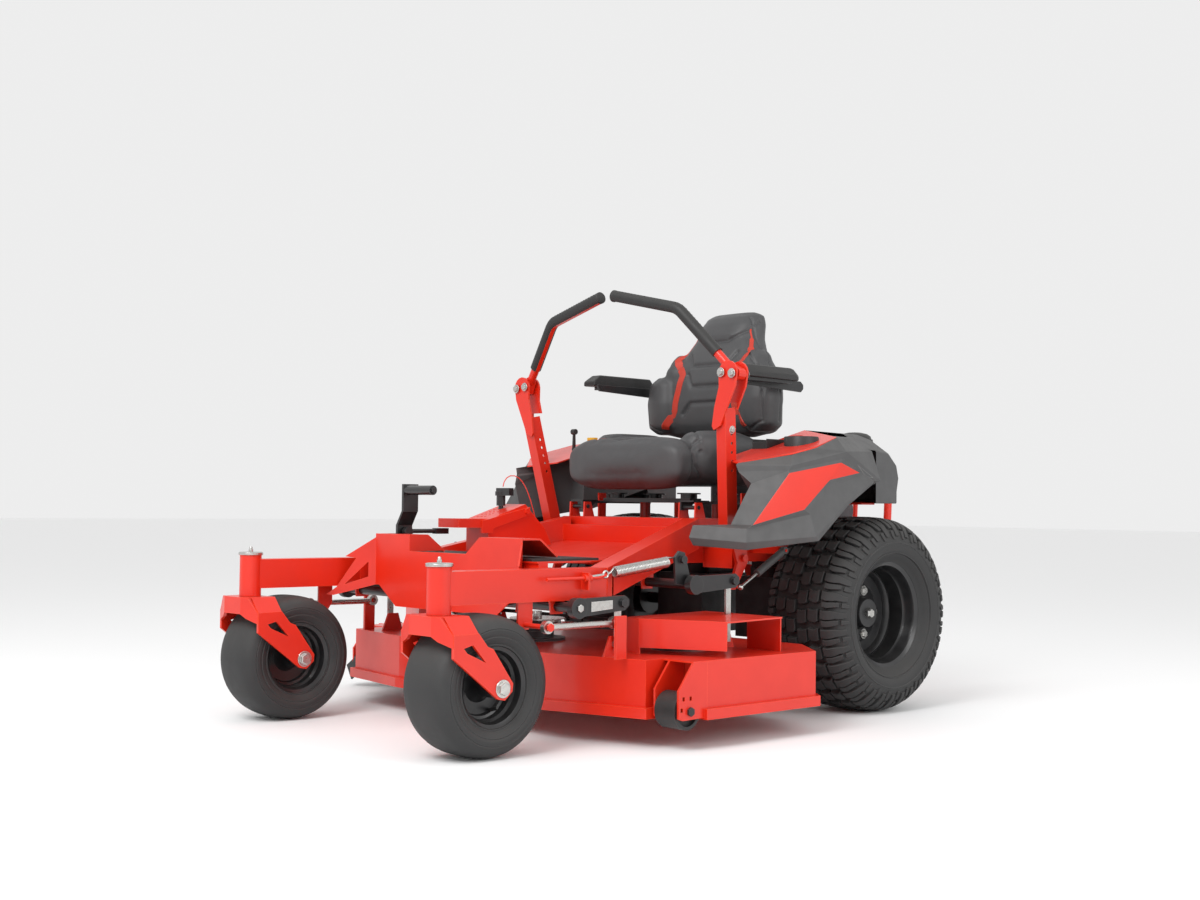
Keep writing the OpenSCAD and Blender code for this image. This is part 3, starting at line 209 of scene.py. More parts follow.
def blend_colours(tree, mask, first, second):
    mix = add(tree, "ShaderNodeMix", data_type="RGBA")
    tree.links.new(mask, mix.inputs["Factor"])
    for socket, colour in ((mix.inputs[6], first), (mix.inputs[7], second)):
        if isinstance(colour, tuple):
            socket.default_value = (*colour, 1)
        else:
            tree.links.new(colour, socket)
    return mix.outputs[2]


def spread(tree, value, low, high):
    node = add(tree, "ShaderNodeMapRange")
    node.inputs["To Min"].default_value = low
    node.inputs["To Max"].default_value = high
    tree.links.new(value, node.inputs["Value"])
    return node.outputs[0]


def bump(tree, shader, height, strength, distance):
    node = add(tree, "ShaderNodeBump")
    node.inputs["Strength"].default_value = strength
    node.inputs["Distance"].default_value = distance
    tree.links.new(height, node.inputs["Height"])
    tree.links.new(node.outputs[0], shader.inputs["Normal"])


def finish(name, colour, second, gloss=(0.35, 0.5), metal=0.0, coat=0.0, mottle_scale=30, edge_highlight_colour=None,
           edge_radius=0.003, dust_amount=0.25, dust_colour=(0.45, 0.42, 0.38), bump_scale=500,
           bump_strength=0.08, bump_depth=0.0004, cellular=False):
    material = bpy.data.materials.new(name)
    material.use_nodes = True
    tree = material.node_tree
    shader = tree.nodes["Principled BSDF"]
    shader.inputs["Metallic"].default_value = metal
    shader.inputs["Coat Weight"].default_value = coat
    shader.inputs["Coat Roughness"].default_value = 0.12
    cloud_value = use(tree, mottle, Scale=mottle_scale, Contrast=2.0)
    base = blend_colours(tree, cloud_value, colour, second)
    # Painted highlight: sharp edges are blended towards a lighter colour, in place of light caught on rounded
    # edges.
    if edge_highlight_colour:
        base = blend_colours(tree, use(tree, edge, Radius=edge_radius, Strength=2.5), base, edge_highlight_colour)
    if dust_amount:
        base = blend_colours(tree, use(tree, dust, Scale=7.0, Amount=dust_amount), base, dust_colour)
    tree.links.new(base, shader.inputs["Base Color"])
    tree.links.new(spread(tree, cloud_value, *gloss), shader.inputs["Roughness"])
    if cellular:
        height = use(tree, grain, Scale=bump_scale)
    else:
        height = use(tree, mottle, Scale=bump_scale, Contrast=1.0)
    bump(tree, shader, height, bump_strength, bump_depth)
    return material


# %% Finishes of the mower
# Each edge highlight colour below is a painted highlight: a lighter tone laid on the sharp edges of that
# finish.
red_paint = finish("red_paint", (0.72, 0.020, 0.004), (0.65, 0.016, 0.003), gloss=(0.32, 0.42), coat=0.2,
                   edge_highlight_colour=(0.86, 0.070, 0.020), dust_amount=0.03, bump_strength=0.05, mottle_scale=12)
black_paint = finish("black_paint", (0.010, 0.010, 0.011), (0.016, 0.016, 0.017), gloss=(0.28, 0.42),
                     coat=0.2,
                     edge_highlight_colour=(0.06, 0.06, 0.062), dust_amount=0.05, bump_strength=0.08)
bright_zinc = finish("bright_zinc", (0.62, 0.61, 0.58), (0.48, 0.475, 0.46), gloss=(0.22, 0.38), metal=1.0,
                     edge_highlight_colour=(0.80, 0.80, 0.78), dust_amount=0.05, mottle_scale=90)
grey_plastic = finish("grey_plastic", (0.080, 0.080, 0.081), (0.068, 0.068, 0.069), gloss=(0.50, 0.62),
                      edge_highlight_colour=(0.16, 0.16, 0.16), dust_amount=0.10, bump_scale=900, bump_strength=0.25,
                      cellular=True)
black_plastic = finish("black_plastic", (0.014, 0.014, 0.014), (0.022, 0.022, 0.022), gloss=(0.42, 0.55),
                       edge_highlight_colour=(0.05, 0.05, 0.05), dust_amount=0.08, bump_scale=900, bump_strength=0.2,
                       cellular=True)
tyre_rubber = finish("tyre_rubber", (0.018, 0.018, 0.019), (0.030, 0.030, 0.030), gloss=(0.55, 0.75),
                     edge_highlight_colour=(0.060, 0.060, 0.060), edge_radius=0.004, dust_amount=0.12,
                     bump_scale=260, bump_strength=0.15)
soft_rubber = finish("soft_rubber", (0.013, 0.013, 0.013), (0.022, 0.022, 0.022), gloss=(0.5, 0.65),
                     edge_highlight_colour=(0.05, 0.05, 0.05), dust_amount=0.08, bump_scale=400, bump_strength=0.2)
engine_metal = finish("engine_metal", (0.10, 0.10, 0.105), (0.05, 0.05, 0.052), gloss=(0.4, 0.6), metal=0.6,
                      edge_highlight_colour=(0.3, 0.3, 0.3), bump_scale=220, bump_strength=0.3)
drive_metal = finish("drive_metal", (0.03, 0.03, 0.032), (0.018, 0.018, 0.02), gloss=(0.45, 0.65), metal=0.3,
                     edge_highlight_colour=(0.08, 0.08, 0.08), bump_scale=220, bump_strength=0.4)
yellow_plastic = finish("yellow_plastic", (0.80, 0.50, 0.03), (0.72, 0.44, 0.03), gloss=(0.3, 0.45),
                        edge_highlight_colour=(0.9, 0.7, 0.2))
seat_vinyl = finish("seat_vinyl", (0.050, 0.050, 0.052), (0.060, 0.060, 0.062), gloss=(0.42, 0.55),
                    dust_amount=0.0, bump_scale=620, bump_strength=0.35, bump_depth=0.0005, cellular=True)
red_vinyl = finish("red_vinyl", (0.55, 0.035, 0.015), (0.48, 0.03, 0.012), gloss=(0.42, 0.55),
                   dust_amount=0.0, bump_scale=620, bump_strength=0.35, bump_depth=0.0005, cellular=True)
print("finishes", len(bpy.data.materials))

# %% [markdown]
# ## Dressing the solids
# Folded and cut sheet metal has edges that are slightly round, and they catch the light as thin lines.
# Solids come as triangles, so first a planar decimate joins flat triangles back into whole faces, then a
# small bevel rounds the sharp edges, and weighted normals keep the flat faces flat. All three are
# modifiers, so the solid itself isn't touched.

# %% Dress helper
def dress(name, material, round_edge=0.0012):
    solid = solids[name]
    solid.data.materials.clear()
    solid.data.materials.append(material)
    for polygon in solid.data.polygons:
        polygon.use_smooth = True
    flatten = solid.modifiers.new("flat faces", "DECIMATE")
    flatten.decimate_type = "DISSOLVE"
    flatten.angle_limit = math.radians(0.6)
    if round_edge:
        soften = solid.modifiers.new("round edges", "BEVEL")
        soften.width = round_edge
        soften.segments = 2
        soften.limit_method = "ANGLE"
        soften.angle_limit = math.radians(38)
        soften.use_clamp_overlap = True
        soften.harden_normals = True
    else:
        weighted = solid.modifiers.new("flat shading", "WEIGHTED_NORMAL")
        weighted.keep_sharp = True
    return solid


# %% Dress the solids
finish_of = {"red_powder_coat": red_paint, "black_powder_coat": black_paint, "zinc": bright_zinc,
             "grey_plastic": grey_plastic, "black_plastic": black_plastic, "tyre_rubber": tyre_rubber,
             "soft_rubber": soft_rubber, "seat_vinyl": seat_vinyl, "engine_metal": engine_metal,
             "drive_metal": drive_metal, "yellow_plastic": yellow_plastic}
for entry in frame["record"]["subparts"]:
    dress(entry["node"], finish_of[entry["material_slot"]])

# %% Dress and hold the pin wire
pin_wire.data.materials.append(red_paint)
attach(pin_wire, "frame")
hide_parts("pin_lanyard")
print("pin wire rides on the frame")

# %% [markdown]
# ## Building in code
# Each detailed piece is gathered as points and faces in one Shape and then made into one object. Three
# ways of making faces cover most of a machine: turning a profile round an axis, pushing a flat outline
# along a direction, and running a ribbon over a surface. A small bevel modifier finishes hard edges.

# %% Shape: gathers points and faces
class Shape:
    def __init__(self):
        self.points, self.faces, self.marks = [], [], []

    def add(self, points, faces, mark=0):
        start = len(self.points)
        self.points += [Vector(p) for p in points]
        self.faces += [tuple(start + i for i in face) for face in faces]
        self.marks += [mark] * len(faces)

    def mirrored(self):
        other = Shape()
        other.add([(-p.x, p.y, p.z) for p in self.points], [tuple(reversed(f)) for f in self.faces])
        other.marks = list(self.marks)
        return other

    def piece(self, name, body, *materials, smooth=35, bevel=0.0, segments=2, stands_for=()):
        mesh = bpy.data.meshes.new(name)
        mesh.from_pydata(self.points, [], self.faces)
        for material in materials:
            mesh.materials.append(material)
        mesh.polygons.foreach_set("material_index", self.marks)
        mesh.polygons.foreach_set("use_smooth", [True] * len(mesh.polygons))
        work = bmesh.new()
        work.from_mesh(mesh)
        bmesh.ops.recalc_face_normals(work, faces=work.faces)
        work.to_mesh(mesh)
        work.free()
        mesh.set_sharp_from_angle(angle=math.radians(smooth))
        thing = bpy.data.objects.new(name, mesh)
        bpy.context.scene.collection.objects.link(thing)
        if bevel:
            round_off = thing.modifiers.new("round edges", "BEVEL")
            round_off.width = bevel
            round_off.segments = segments
            round_off.limit_method = "ANGLE"
            round_off.angle_limit = math.radians(32)
            round_off.harden_normals = True
        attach(thing, body)
        if stands_for:
            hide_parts(*stands_for)
        return thing


def cross_axes(axis):
    along = Vector(axis).normalized()
    side = Vector((0, 0, 1)) if abs(along.z) < 0.9 else Vector((0, 1, 0))
    first = (side - along * side.dot(along)).normalized()
    return along, first, along.cross(first)


# %% Turning, pushing and bolting
def turn_profile(shape, profile, centre, axis, steps=64, closed=False, caps=True, mark=0, start=0.0):
    along, first, second = cross_axes(axis)
    centre = Vector(centre)
    points = []
    for radius, far in profile:
        for k in range(steps):
            angle = start + 2 * math.pi * k / steps
            points.append(centre + along * far + (first * math.cos(angle) + second * math.sin(angle)) * radius)
    rows = len(profile)
    faces = []
    for r in range(rows if closed else rows - 1):
        q = (r + 1) % rows
        for k in range(steps):
            n = (k + 1) % steps
            faces.append((r * steps + k, r * steps + n, q * steps + n, q * steps + k))
    if caps and not closed:
        faces.append(tuple(reversed(range(steps))))
        faces.append(tuple((rows - 1) * steps + k for k in range(steps)))
    shape.add(points, faces, mark)


def push(shape, outline, way, mark=0):
    count = len(outline)
    near = [Vector(p) for p in outline]
    far = [p + Vector(way) for p in near]
    faces = [tuple(range(count)), tuple(reversed(range(count, 2 * count)))]
    faces += [((i + 1) % count, i, count + i, count + (i + 1) % count) for i in range(count)]
    shape.add(near + far, faces, mark)


def box(shape, low, high, mark=0):
    push(shape, [(low[0], low[1], low[2]), (high[0], low[1], low[2]), (high[0], high[1], low[2]),
                 (low[0], high[1], low[2])], (0, 0, high[2] - low[2]), mark)


def bolt(shape, place, axis, size=0.010, mark=0, washer=True):
    if washer:
        turn_profile(shape, [(size * 1.3, -0.0005), (size * 1.35, size * 0.06), (size * 1.3, size * 0.16)],
                     place, axis, steps=28, mark=mark)
    turn_profile(shape, [(size * 0.97, size * 0.1), (size, size * 0.2), (size, size * 0.62),
                         (size * 0.86, size * 0.72)],
                 place, axis, steps=6, mark=mark)


print("helpers ready")

# %% [markdown]
# ## Rear tyres
# Turf tyres for slopes carry rows of chunky blocks: two rows near the middle, a row of wider blocks, and
# long shoulder lugs that wrap on to the sidewall. A texture would look flat at the outline, so every lug
# is real. The bare tyre is a turned profile; each lug is a ribbon laid along that profile, raised and
# slightly tapered, and repeated round the wheel with the two halves half a pitch apart.

# %% Rear tyre profile
rear_hub = Vector((0.4445, 1.493, 0.279))
rear_half = [(0.2652, 0.0), (0.2650, 0.030), (0.2636, 0.060), (0.2606, 0.084), (0.2550, 0.103),
             (0.2460, 0.119),
             (0.2330, 0.131), (0.2170, 0.1375), (0.1990, 0.1390), (0.1830, 0.1355), (0.1710, 0.1270),
             (0.1620, 0.1165), (0.1560, 0.1110), (0.1510, 0.1075), (0.1490, 0.1010), (0.1400, 0.0990)]


def along_half(half):
    lengths = [0.0]
    for a, b in zip(half, half[1:]):
        lengths.append(lengths[-1] + math.dist(a, b))
    return lengths


rear_lengths = along_half(rear_half)


def on_rear_tyre(angle, far, side, height):
    i = max(k for k in range(len(rear_half) - 1) if rear_lengths[k] <= far + 1e-9)
    share = (far - rear_lengths[i]) / (rear_lengths[i + 1] - rear_lengths[i])
    (r0, x0), (r1, x1) = rear_half[i], rear_half[i + 1]
    size = math.dist((r0, x0), (r1, x1))
    radius = r0 + (r1 - r0) * share + height * (x1 - x0) / size
    across_x = x0 + (x1 - x0) * share - height * (r1 - r0) / size
    return (side * across_x, radius * math.cos(angle), radius * math.sin(angle))


print("meridian length", round(rear_lengths[-1], 3))

# %% Lug patterns: distance from the middle, then the two edges as shares of a pitch
pitches = 32
centre_block = [(0.004, -0.36, 0.26), (0.012, -0.32, 0.34), (0.026, -0.32, 0.34), (0.035, -0.38, 0.24)]
middle_block = [(0.041, -0.46, 0.10), (0.050, -0.38, 0.20), (0.063, -0.38, 0.24), (0.073, -0.46, 0.16)]
long_lug = [(0.080, -0.40, 0.02), (0.092, -0.36, 0.10), (0.106, -0.38, 0.08), (0.120, -0.36, 0.02),
            (0.136, -0.30, 0.04), (0.150, -0.30, -0.02)]
short_lug = [(0.084, 0.16, 0.42), (0.097, 0.18, 0.48), (0.112, 0.14, 0.42), (0.126, 0.14, 0.36)]
shoulder_nub = [(0.134, 0.12, 0.40), (0.146, 0.16, 0.40), (0.158, 0.20, 0.34)]
lug_height = 0.0135


def lay_lug(shape, stations, base_angle, side):
    pitch = 2 * math.pi / pitches
    points, count = [], len(stations)
    for far, low, high in stations:
        height = lug_height * min(1.0, max(0.35, (0.168 - far) / 0.075))
        for edge_share, out in ((low, -1), (high, 1)):
            angle = base_angle + edge_share * pitch
            points.append(on_rear_tyre(angle, far, side, height))
            points.append(on_rear_tyre(angle + out * 0.006, far, side, -0.002))
    faces = []
    for i in range(count - 1):
        a, b = 4 * i, 4 * (i + 1)
        faces += [(a, b, b + 2, a + 2), (a + 1, a + 3, b + 3, b + 1), (a, a + 1, b + 1, b),
                  (a + 2, b + 2, b + 3, a + 3)]
    last = 4 * (count - 1)
    faces += [(0, 2, 3, 1), (last, last + 1, last + 3, last + 2)]
    shape.add(points, faces)


# %% Rear tyres
rear_tread, rear_carcass = Shape(), Shape()
ring = [(r, x) for r, x in rear_half] + [(r, -x) for r, x in reversed(rear_half[1:])]
turn_profile(rear_carcass, ring, (0, 0, 0), (1, 0, 0), steps=144, closed=True)
sidewall_rings = [
    [(0.2035, 0.1374), (0.2050, 0.1402), (0.2070, 0.1402), (0.2085, 0.1374)],
    [(0.1740, 0.1290), (0.1760, 0.1345), (0.1780, 0.1345), (0.1800, 0.1290)]]
for sidewall_ring in sidewall_rings:
    turn_profile(rear_carcass, sidewall_ring, (0, 0, 0), (1, 0, 0), steps=144, closed=True)
for number in range(pitches):
    for side in (1, -1):
        angle = 2 * math.pi * (number + (0.5 if side < 0 else 0)) / pitches
        for pattern in (centre_block, middle_block, long_lug, short_lug, shoulder_nub):
            lay_lug(rear_tread, pattern, angle, side)


def moved(shape, offset, flip=False):
    other = Shape()
    source = shape.mirrored() if flip else shape
    other.add([p + Vector(offset) for p in source.points], source.faces)
    other.marks = list(source.marks)
    return other


for side, name in ((1, "left"), (-1, "right")):
    place = (side * rear_hub.x, rear_hub.y, rear_hub.z)
    moved(rear_carcass, place, side < 0).piece(f"rear_carcass_{name}", f"rear_wheel_{name}", tyre_rubber,
                                                        stands_for=[f"rear_tyre_{name}"])
    moved(rear_tread, place, side < 0).piece(f"rear_tread_{name}", f"rear_wheel_{name}", tyre_rubber,
                                                    bevel=0.0016)
print("rear tread faces", len(rear_tread.faces))

# %% [markdown]
# ## Rear rims
# A ten inch steel rim is a rolled barrel with a lip at each end and a pressed disc in the middle. Both
# are turned profiles; the hub is added to the same piece, and the five nuts, a centre nut and the valve make a
# bright piece of their own.

# %% Rear rims
rear_rim = Shape()
barrel = [(0.1480, 0.1040), (0.1510, 0.1065), (0.1530, 0.1050), (0.1525, 0.1015), (0.1490, 0.0990),
          (0.1440, 0.0960),
          (0.1400, 0.0900), (0.1385, 0.0700), (0.1330, 0.0640), (0.1330, 0.0), (0.1330, -0.0640),
          (0.1385, -0.0700),
          (0.1400, -0.0900), (0.1440, -0.0960), (0.1490, -0.0990), (0.1525, -0.1015), (0.1530, -0.1050),
          (0.1510, -0.1065), (0.1480, -0.1040), (0.1400, -0.1000), (0.1365, -0.0920), (0.1345, -0.0740),
          (0.1290, -0.0660), (0.1290, 0.0), (0.1290, 0.0660), (0.1345, 0.0740), (0.1365, 0.0920),
          (0.1400, 0.1000)]
turn_profile(rear_rim, barrel, (0, 0, 0), (1, 0, 0), steps=96, closed=True)
disc = [(0.1295, 0.020), (0.1240, 0.022), (0.1180, 0.016), (0.1140, 0.004), (0.0880, 0.000), (0.0800, 0.006),
        (0.0500, 0.008), (0.0500, 0.002), (0.0800, 0.000), (0.0880, -0.006), (0.1180, -0.002),
        (0.1295, 0.014)]
turn_profile(rear_rim, disc, (0, 0, 0), (1, 0, 0), steps=96, closed=True)
turn_profile(rear_rim, [(0.0520, -0.040), (0.0520, 0.006), (0.0460, 0.012), (0.0440, 0.034), (0.0400, 0.040),
                        (0.0200, 0.040)], (0, 0, 0), (1, 0, 0), steps=64)
rim_hardware = Shape()
for number in range(5):
    angle = 2 * math.pi * number / 5
    bolt(rim_hardware, (0.008, 0.066 * math.cos(angle), 0.066 * math.sin(angle)), (1, 0, 0), 0.011)
turn_profile(rim_hardware, [(0.0155, 0.038), (0.0155, 0.050), (0.0120, 0.054)], (0, 0, 0), (1, 0, 0),
             steps=6)
turn_profile(rim_hardware, [(0.0045, 0.0), (0.0040, 0.020), (0.0030, 0.024)], (0.018, -0.050, -0.108),
             (1, 0.0, 0.3), steps=16)
for side, name in ((1, "left"), (-1, "right")):
    place = (side * rear_hub.x, rear_hub.y, rear_hub.z)
    moved(rear_rim, place, side < 0).piece(f"rear_rim_shell_{name}", f"rear_wheel_{name}", black_paint,
                                           smooth=30,
                                           stands_for=[f"rear_rim_{name}"])
    moved(rim_hardware, place, side < 0).piece(f"rear_nuts_{name}", f"rear_wheel_{name}", bright_zinc)
print("rear rims made")

# %% [markdown]
# ## Front tyres and rims
# The casters run on smooth tyres with round shoulders and a few fine rings on the sidewall. The rings are
# part of the turned profile, so they catch the light all round.

# %% Front tyres
front_hub = Vector((0.415, 0.109, 0.165))
front_half = [(0.1650, 0.0), (0.1648, 0.020), (0.1638, 0.036), (0.1618, 0.0500), (0.1580, 0.0620),
              (0.1520, 0.0710),
              (0.1440, 0.0770), (0.1350, 0.0800), (0.1340, 0.0790), (0.1325, 0.0790), (0.1315, 0.0806),
              (0.1250, 0.0810),
              (0.1180, 0.0800), (0.1170, 0.0788), (0.1155, 0.0788), (0.1145, 0.0796), (0.1080, 0.0770),
              (0.1020, 0.0735),
              (0.0985, 0.0705), (0.0970, 0.0715), (0.0950, 0.0710), (0.0935, 0.0670), (0.0920, 0.0610),
              (0.0860, 0.0600)]
front_tyre = Shape()
ring = [(r, x) for r, x in front_half] + [(r, -x) for r, x in reversed(front_half[1:])]
turn_profile(front_tyre, ring, (0, 0, 0), (1, 0, 0), steps=144, closed=True)
front_rim = Shape()
front_barrel = [(0.0900, 0.0650), (0.0930, 0.0675), (0.0948, 0.0660), (0.0940, 0.0630), (0.0900, 0.0615),
                (0.0870, 0.0560), (0.0860, 0.0430), (0.0800, 0.0380), (0.0800, -0.0380), (0.0860, -0.0430),
                (0.0870, -0.0560), (0.0900, -0.0615), (0.0940, -0.0630), (0.0948, -0.0660),
                (0.0930, -0.0675),
                (0.0900, -0.0650), (0.0850, -0.0620), (0.0825, -0.0560), (0.0815, -0.0450),
                (0.0760, -0.0390),
                (0.0760, 0.0390), (0.0815, 0.0450), (0.0825, 0.0560), (0.0850, 0.0620)]
turn_profile(front_rim, front_barrel, (0, 0, 0), (1, 0, 0), steps=96, closed=True)
for way in (1, -1):
    turn_profile(front_rim, [(0.0765, way * 0.020), (0.0700, way * 0.018), (0.0660, way * 0.010),
                             (0.0400, way * 0.008),
                             (0.0330, way * 0.014), (0.0240, way * 0.030), (0.0240, way * 0.080),
                             (0.0180, way * 0.084),
                             (0.0100, way * 0.084), (0.0100, 0), (0.0765, 0)], (0, 0, 0), (1, 0, 0),
                             steps=72,
                 closed=True)
valve = Shape()
turn_profile(valve, [(0.0050, 0.0), (0.0045, 0.024), (0.0030, 0.028)], (0.016, 0.030, -0.058), (1, 0, 0.25),
             steps=16)
for side, name in ((1, "left"), (-1, "right")):
    place = (side * front_hub.x, front_hub.y, front_hub.z)
    moved(front_tyre, place, side < 0).piece(f"front_tyre_{name}", f"caster_wheel_{name}", tyre_rubber,
                                             smooth=50,
                                             stands_for=[f"caster_tyre_{name}"])
    moved(front_rim, place, side < 0).piece(f"front_rim_{name}", f"caster_wheel_{name}", black_paint,
                                            smooth=30,
                                            stands_for=[f"caster_rim_{name}"])
    moved(valve, place, side < 0).piece(f"front_valve_{name}", f"caster_wheel_{name}", black_plastic)
print("front wheels made")

# %% [markdown]
# ## Fenders
# Each fender is one moulding: a ledge that points forwards, a slanting strut, a broad face with a painted
# insert, a band along its upper edge and a sloping top. Flat facets meeting at soft creases describe it,
# so it is built from a few named corners joined by faces, given a thickness, and bevelled lightly so that
# every crease catches a line of light. The right one is the left one mirrored.

# %% Fender corners
corners = {
    # Top edge, nose, foot and inner edge of the ledge
    "t0": (0.395, 0.850, 0.532), "t1": (0.515, 0.930, 0.524), "t2": (0.578, 1.115, 0.564),
    "t3": (0.579, 1.245, 0.649), "t4": (0.579, 1.345, 0.676),
    "n0": (0.392, 0.838, 0.499), "n1": (0.521, 0.921, 0.488), "n2": (0.5865, 1.130, 0.504),
    "n3": (0.5865, 1.268, 0.599), "n4": (0.5865, 1.381, 0.658),
    "f0": (0.398, 0.848, 0.478), "f1": (0.514, 0.930, 0.468), "f2": (0.579, 1.150, 0.492),
    "f3": (0.577, 1.278, 0.588), "f4": (0.577, 1.392, 0.650),
    "g0": (0.362, 0.930, 0.480), "g1": (0.380, 1.020, 0.476), "g2": (0.400, 1.130, 0.494),
    # Painted insert
    "i0": (0.530, 0.937, 0.534), "i1": (0.555, 1.055, 0.674), "i2": (0.580, 1.243, 0.706),
    "i3": (0.580, 1.325, 0.680), "i4": (0.579, 1.195, 0.658), "i5": (0.572, 1.097, 0.576),
    # Strut and upper band
    "s0": (0.435, 0.955, 0.534), "s1": (0.490, 0.972, 0.645), "s2": (0.462, 0.955, 0.676),
    "l0": (0.552, 1.052, 0.680), "l1": (0.581, 1.250, 0.716),
    "u0": (0.458, 0.948, 0.694), "u1": (0.556, 1.062, 0.694), "u2": (0.5865, 1.257, 0.737),
    "u3": (0.5865, 1.413, 0.662),
    # Rim of the top, rear deck and inner walls
    "r0": (0.345, 1.020, 0.711), "r1": (0.440, 0.978, 0.700), "r2": (0.545, 1.078, 0.724),
    "r3": (0.568, 1.150, 0.744), "r4": (0.548, 1.262, 0.777), "r5": (0.345, 1.370, 0.806),
    "d0": (0.345, 1.425, 0.798), "d1": (0.500, 1.425, 0.785), "d2": (0.566, 1.400, 0.742),
    "w0": (0.400, 1.130, 0.560), "w1": (0.400, 1.130, 0.732), "w2": (0.345, 1.130, 0.732),
    "w3": (0.345, 1.130, 0.560), "w4": (0.345, 1.425, 0.640), "w5": (0.500, 1.432, 0.650)}
grey_faces = """
n0 n1 t1 t0,  n1 n2 t2 t1,  n2 n3 t3 t2,  n3 n4 t4 t3
f0 f1 n1 n0,  f1 f2 n2 n1,  f2 f3 n3 n2,  f3 f4 n4 n3
g0 g1 f1 f0,  g1 g2 f2 f1,  t0 t1 i0 s0,  s0 i0 i1 l0 s1,  s1 l0 s2
t1 t2 i5 i0,  t2 t3 i4 i5,  t3 t4 i3 i4,  i1 i2 l1 l0,  i2 i3 t4 l1
s2 l0 u1 u0,  l0 l1 u2 u1,  l1 t4 n4 u3 u2
u0 u1 r2 r1,  u1 u2 r4 r3 r2,  r4 u2 d2 d1,  r4 d1 d0 r5,  u2 u3 d2,  n4 f4 w5 u3,  u3 w5 d1 d2,  d0 d1 w5 w4
s0 s1 s2 u0 r1 w1 w0,  w0 w1 w2 w3,  w3 w2 r0 r5 d0 w4
"""
insert_faces = "i0 i5 i1,  i5 i4 i2 i1,  i4 i3 i2"
top_outline = ["r0", "r1", "r2", "r3", "r4", "r5"]


def add_named(shape, faces, mark=0):
    rows = [row.split() for row in faces.replace("\n", ",").split(",") if row.strip()]
    names = sorted({name for row in rows for name in row})
    shape.add([corners[name] for name in names], [[names.index(name) for name in row] for row in rows], mark)


print("fender corners", len(corners))


# %% Plate with holes, on a sloping plane
def holed_plate(shape, outline, holes, thickness, mark=0):
    work = bmesh.new()
    for loop in [outline] + holes:
        ring = [work.verts.new(p) for p in loop]
        for i, corner in enumerate(ring):
            work.edges.new((corner, ring[(i + 1) % len(ring)]))
    bmesh.ops.triangle_fill(work, use_beauty=True, use_dissolve=False, edges=work.edges)
    work.verts.index_update()
    points = [v.co.copy() for v in work.verts]
    faces = [[v.index for v in f.verts] for f in work.faces]
    work.free()
    lower = [p - Vector((0, 0, thickness)) for p in points]
    count = len(points)
    shape.add(points + lower, faces + [[count + i for i in reversed(f)] for f in faces], mark)
    start = 0
    for loop in [outline] + holes:
        n = len(loop)
        shape.add([points[start + i] for i in range(n)] + [lower[start + i] for i in range(n)],
                  [(i, (i + 1) % n, n + (i + 1) % n, n + i) for i in range(n)], mark)
        start += n


def top_height(y):
    return 0.695 + 0.27 * (y - 0.96)


# %% Fenders
cup_centre, cup_radius = (0.470, 1.205), 0.0425
tray_low, tray_high = (0.352, 1.140), (0.400, 1.300)


def merge_points(thing):
    work = bmesh.new()
    work.from_mesh(thing.data)
    bmesh.ops.remove_doubles(work, verts=work.verts, dist=0.0002)
    bmesh.ops.recalc_face_normals(work, faces=work.faces)
    work.to_mesh(thing.data)
    work.free()


def ring_of_points(centre, radius, height, count=40):
    return [(centre[0] + radius * math.cos(2 * math.pi * k / count),
             centre[1] + radius * math.sin(2 * math.pi * k / count),
             height(centre[1] + radius * math.sin(2 * math.pi * k / count))) for k in range(count)]


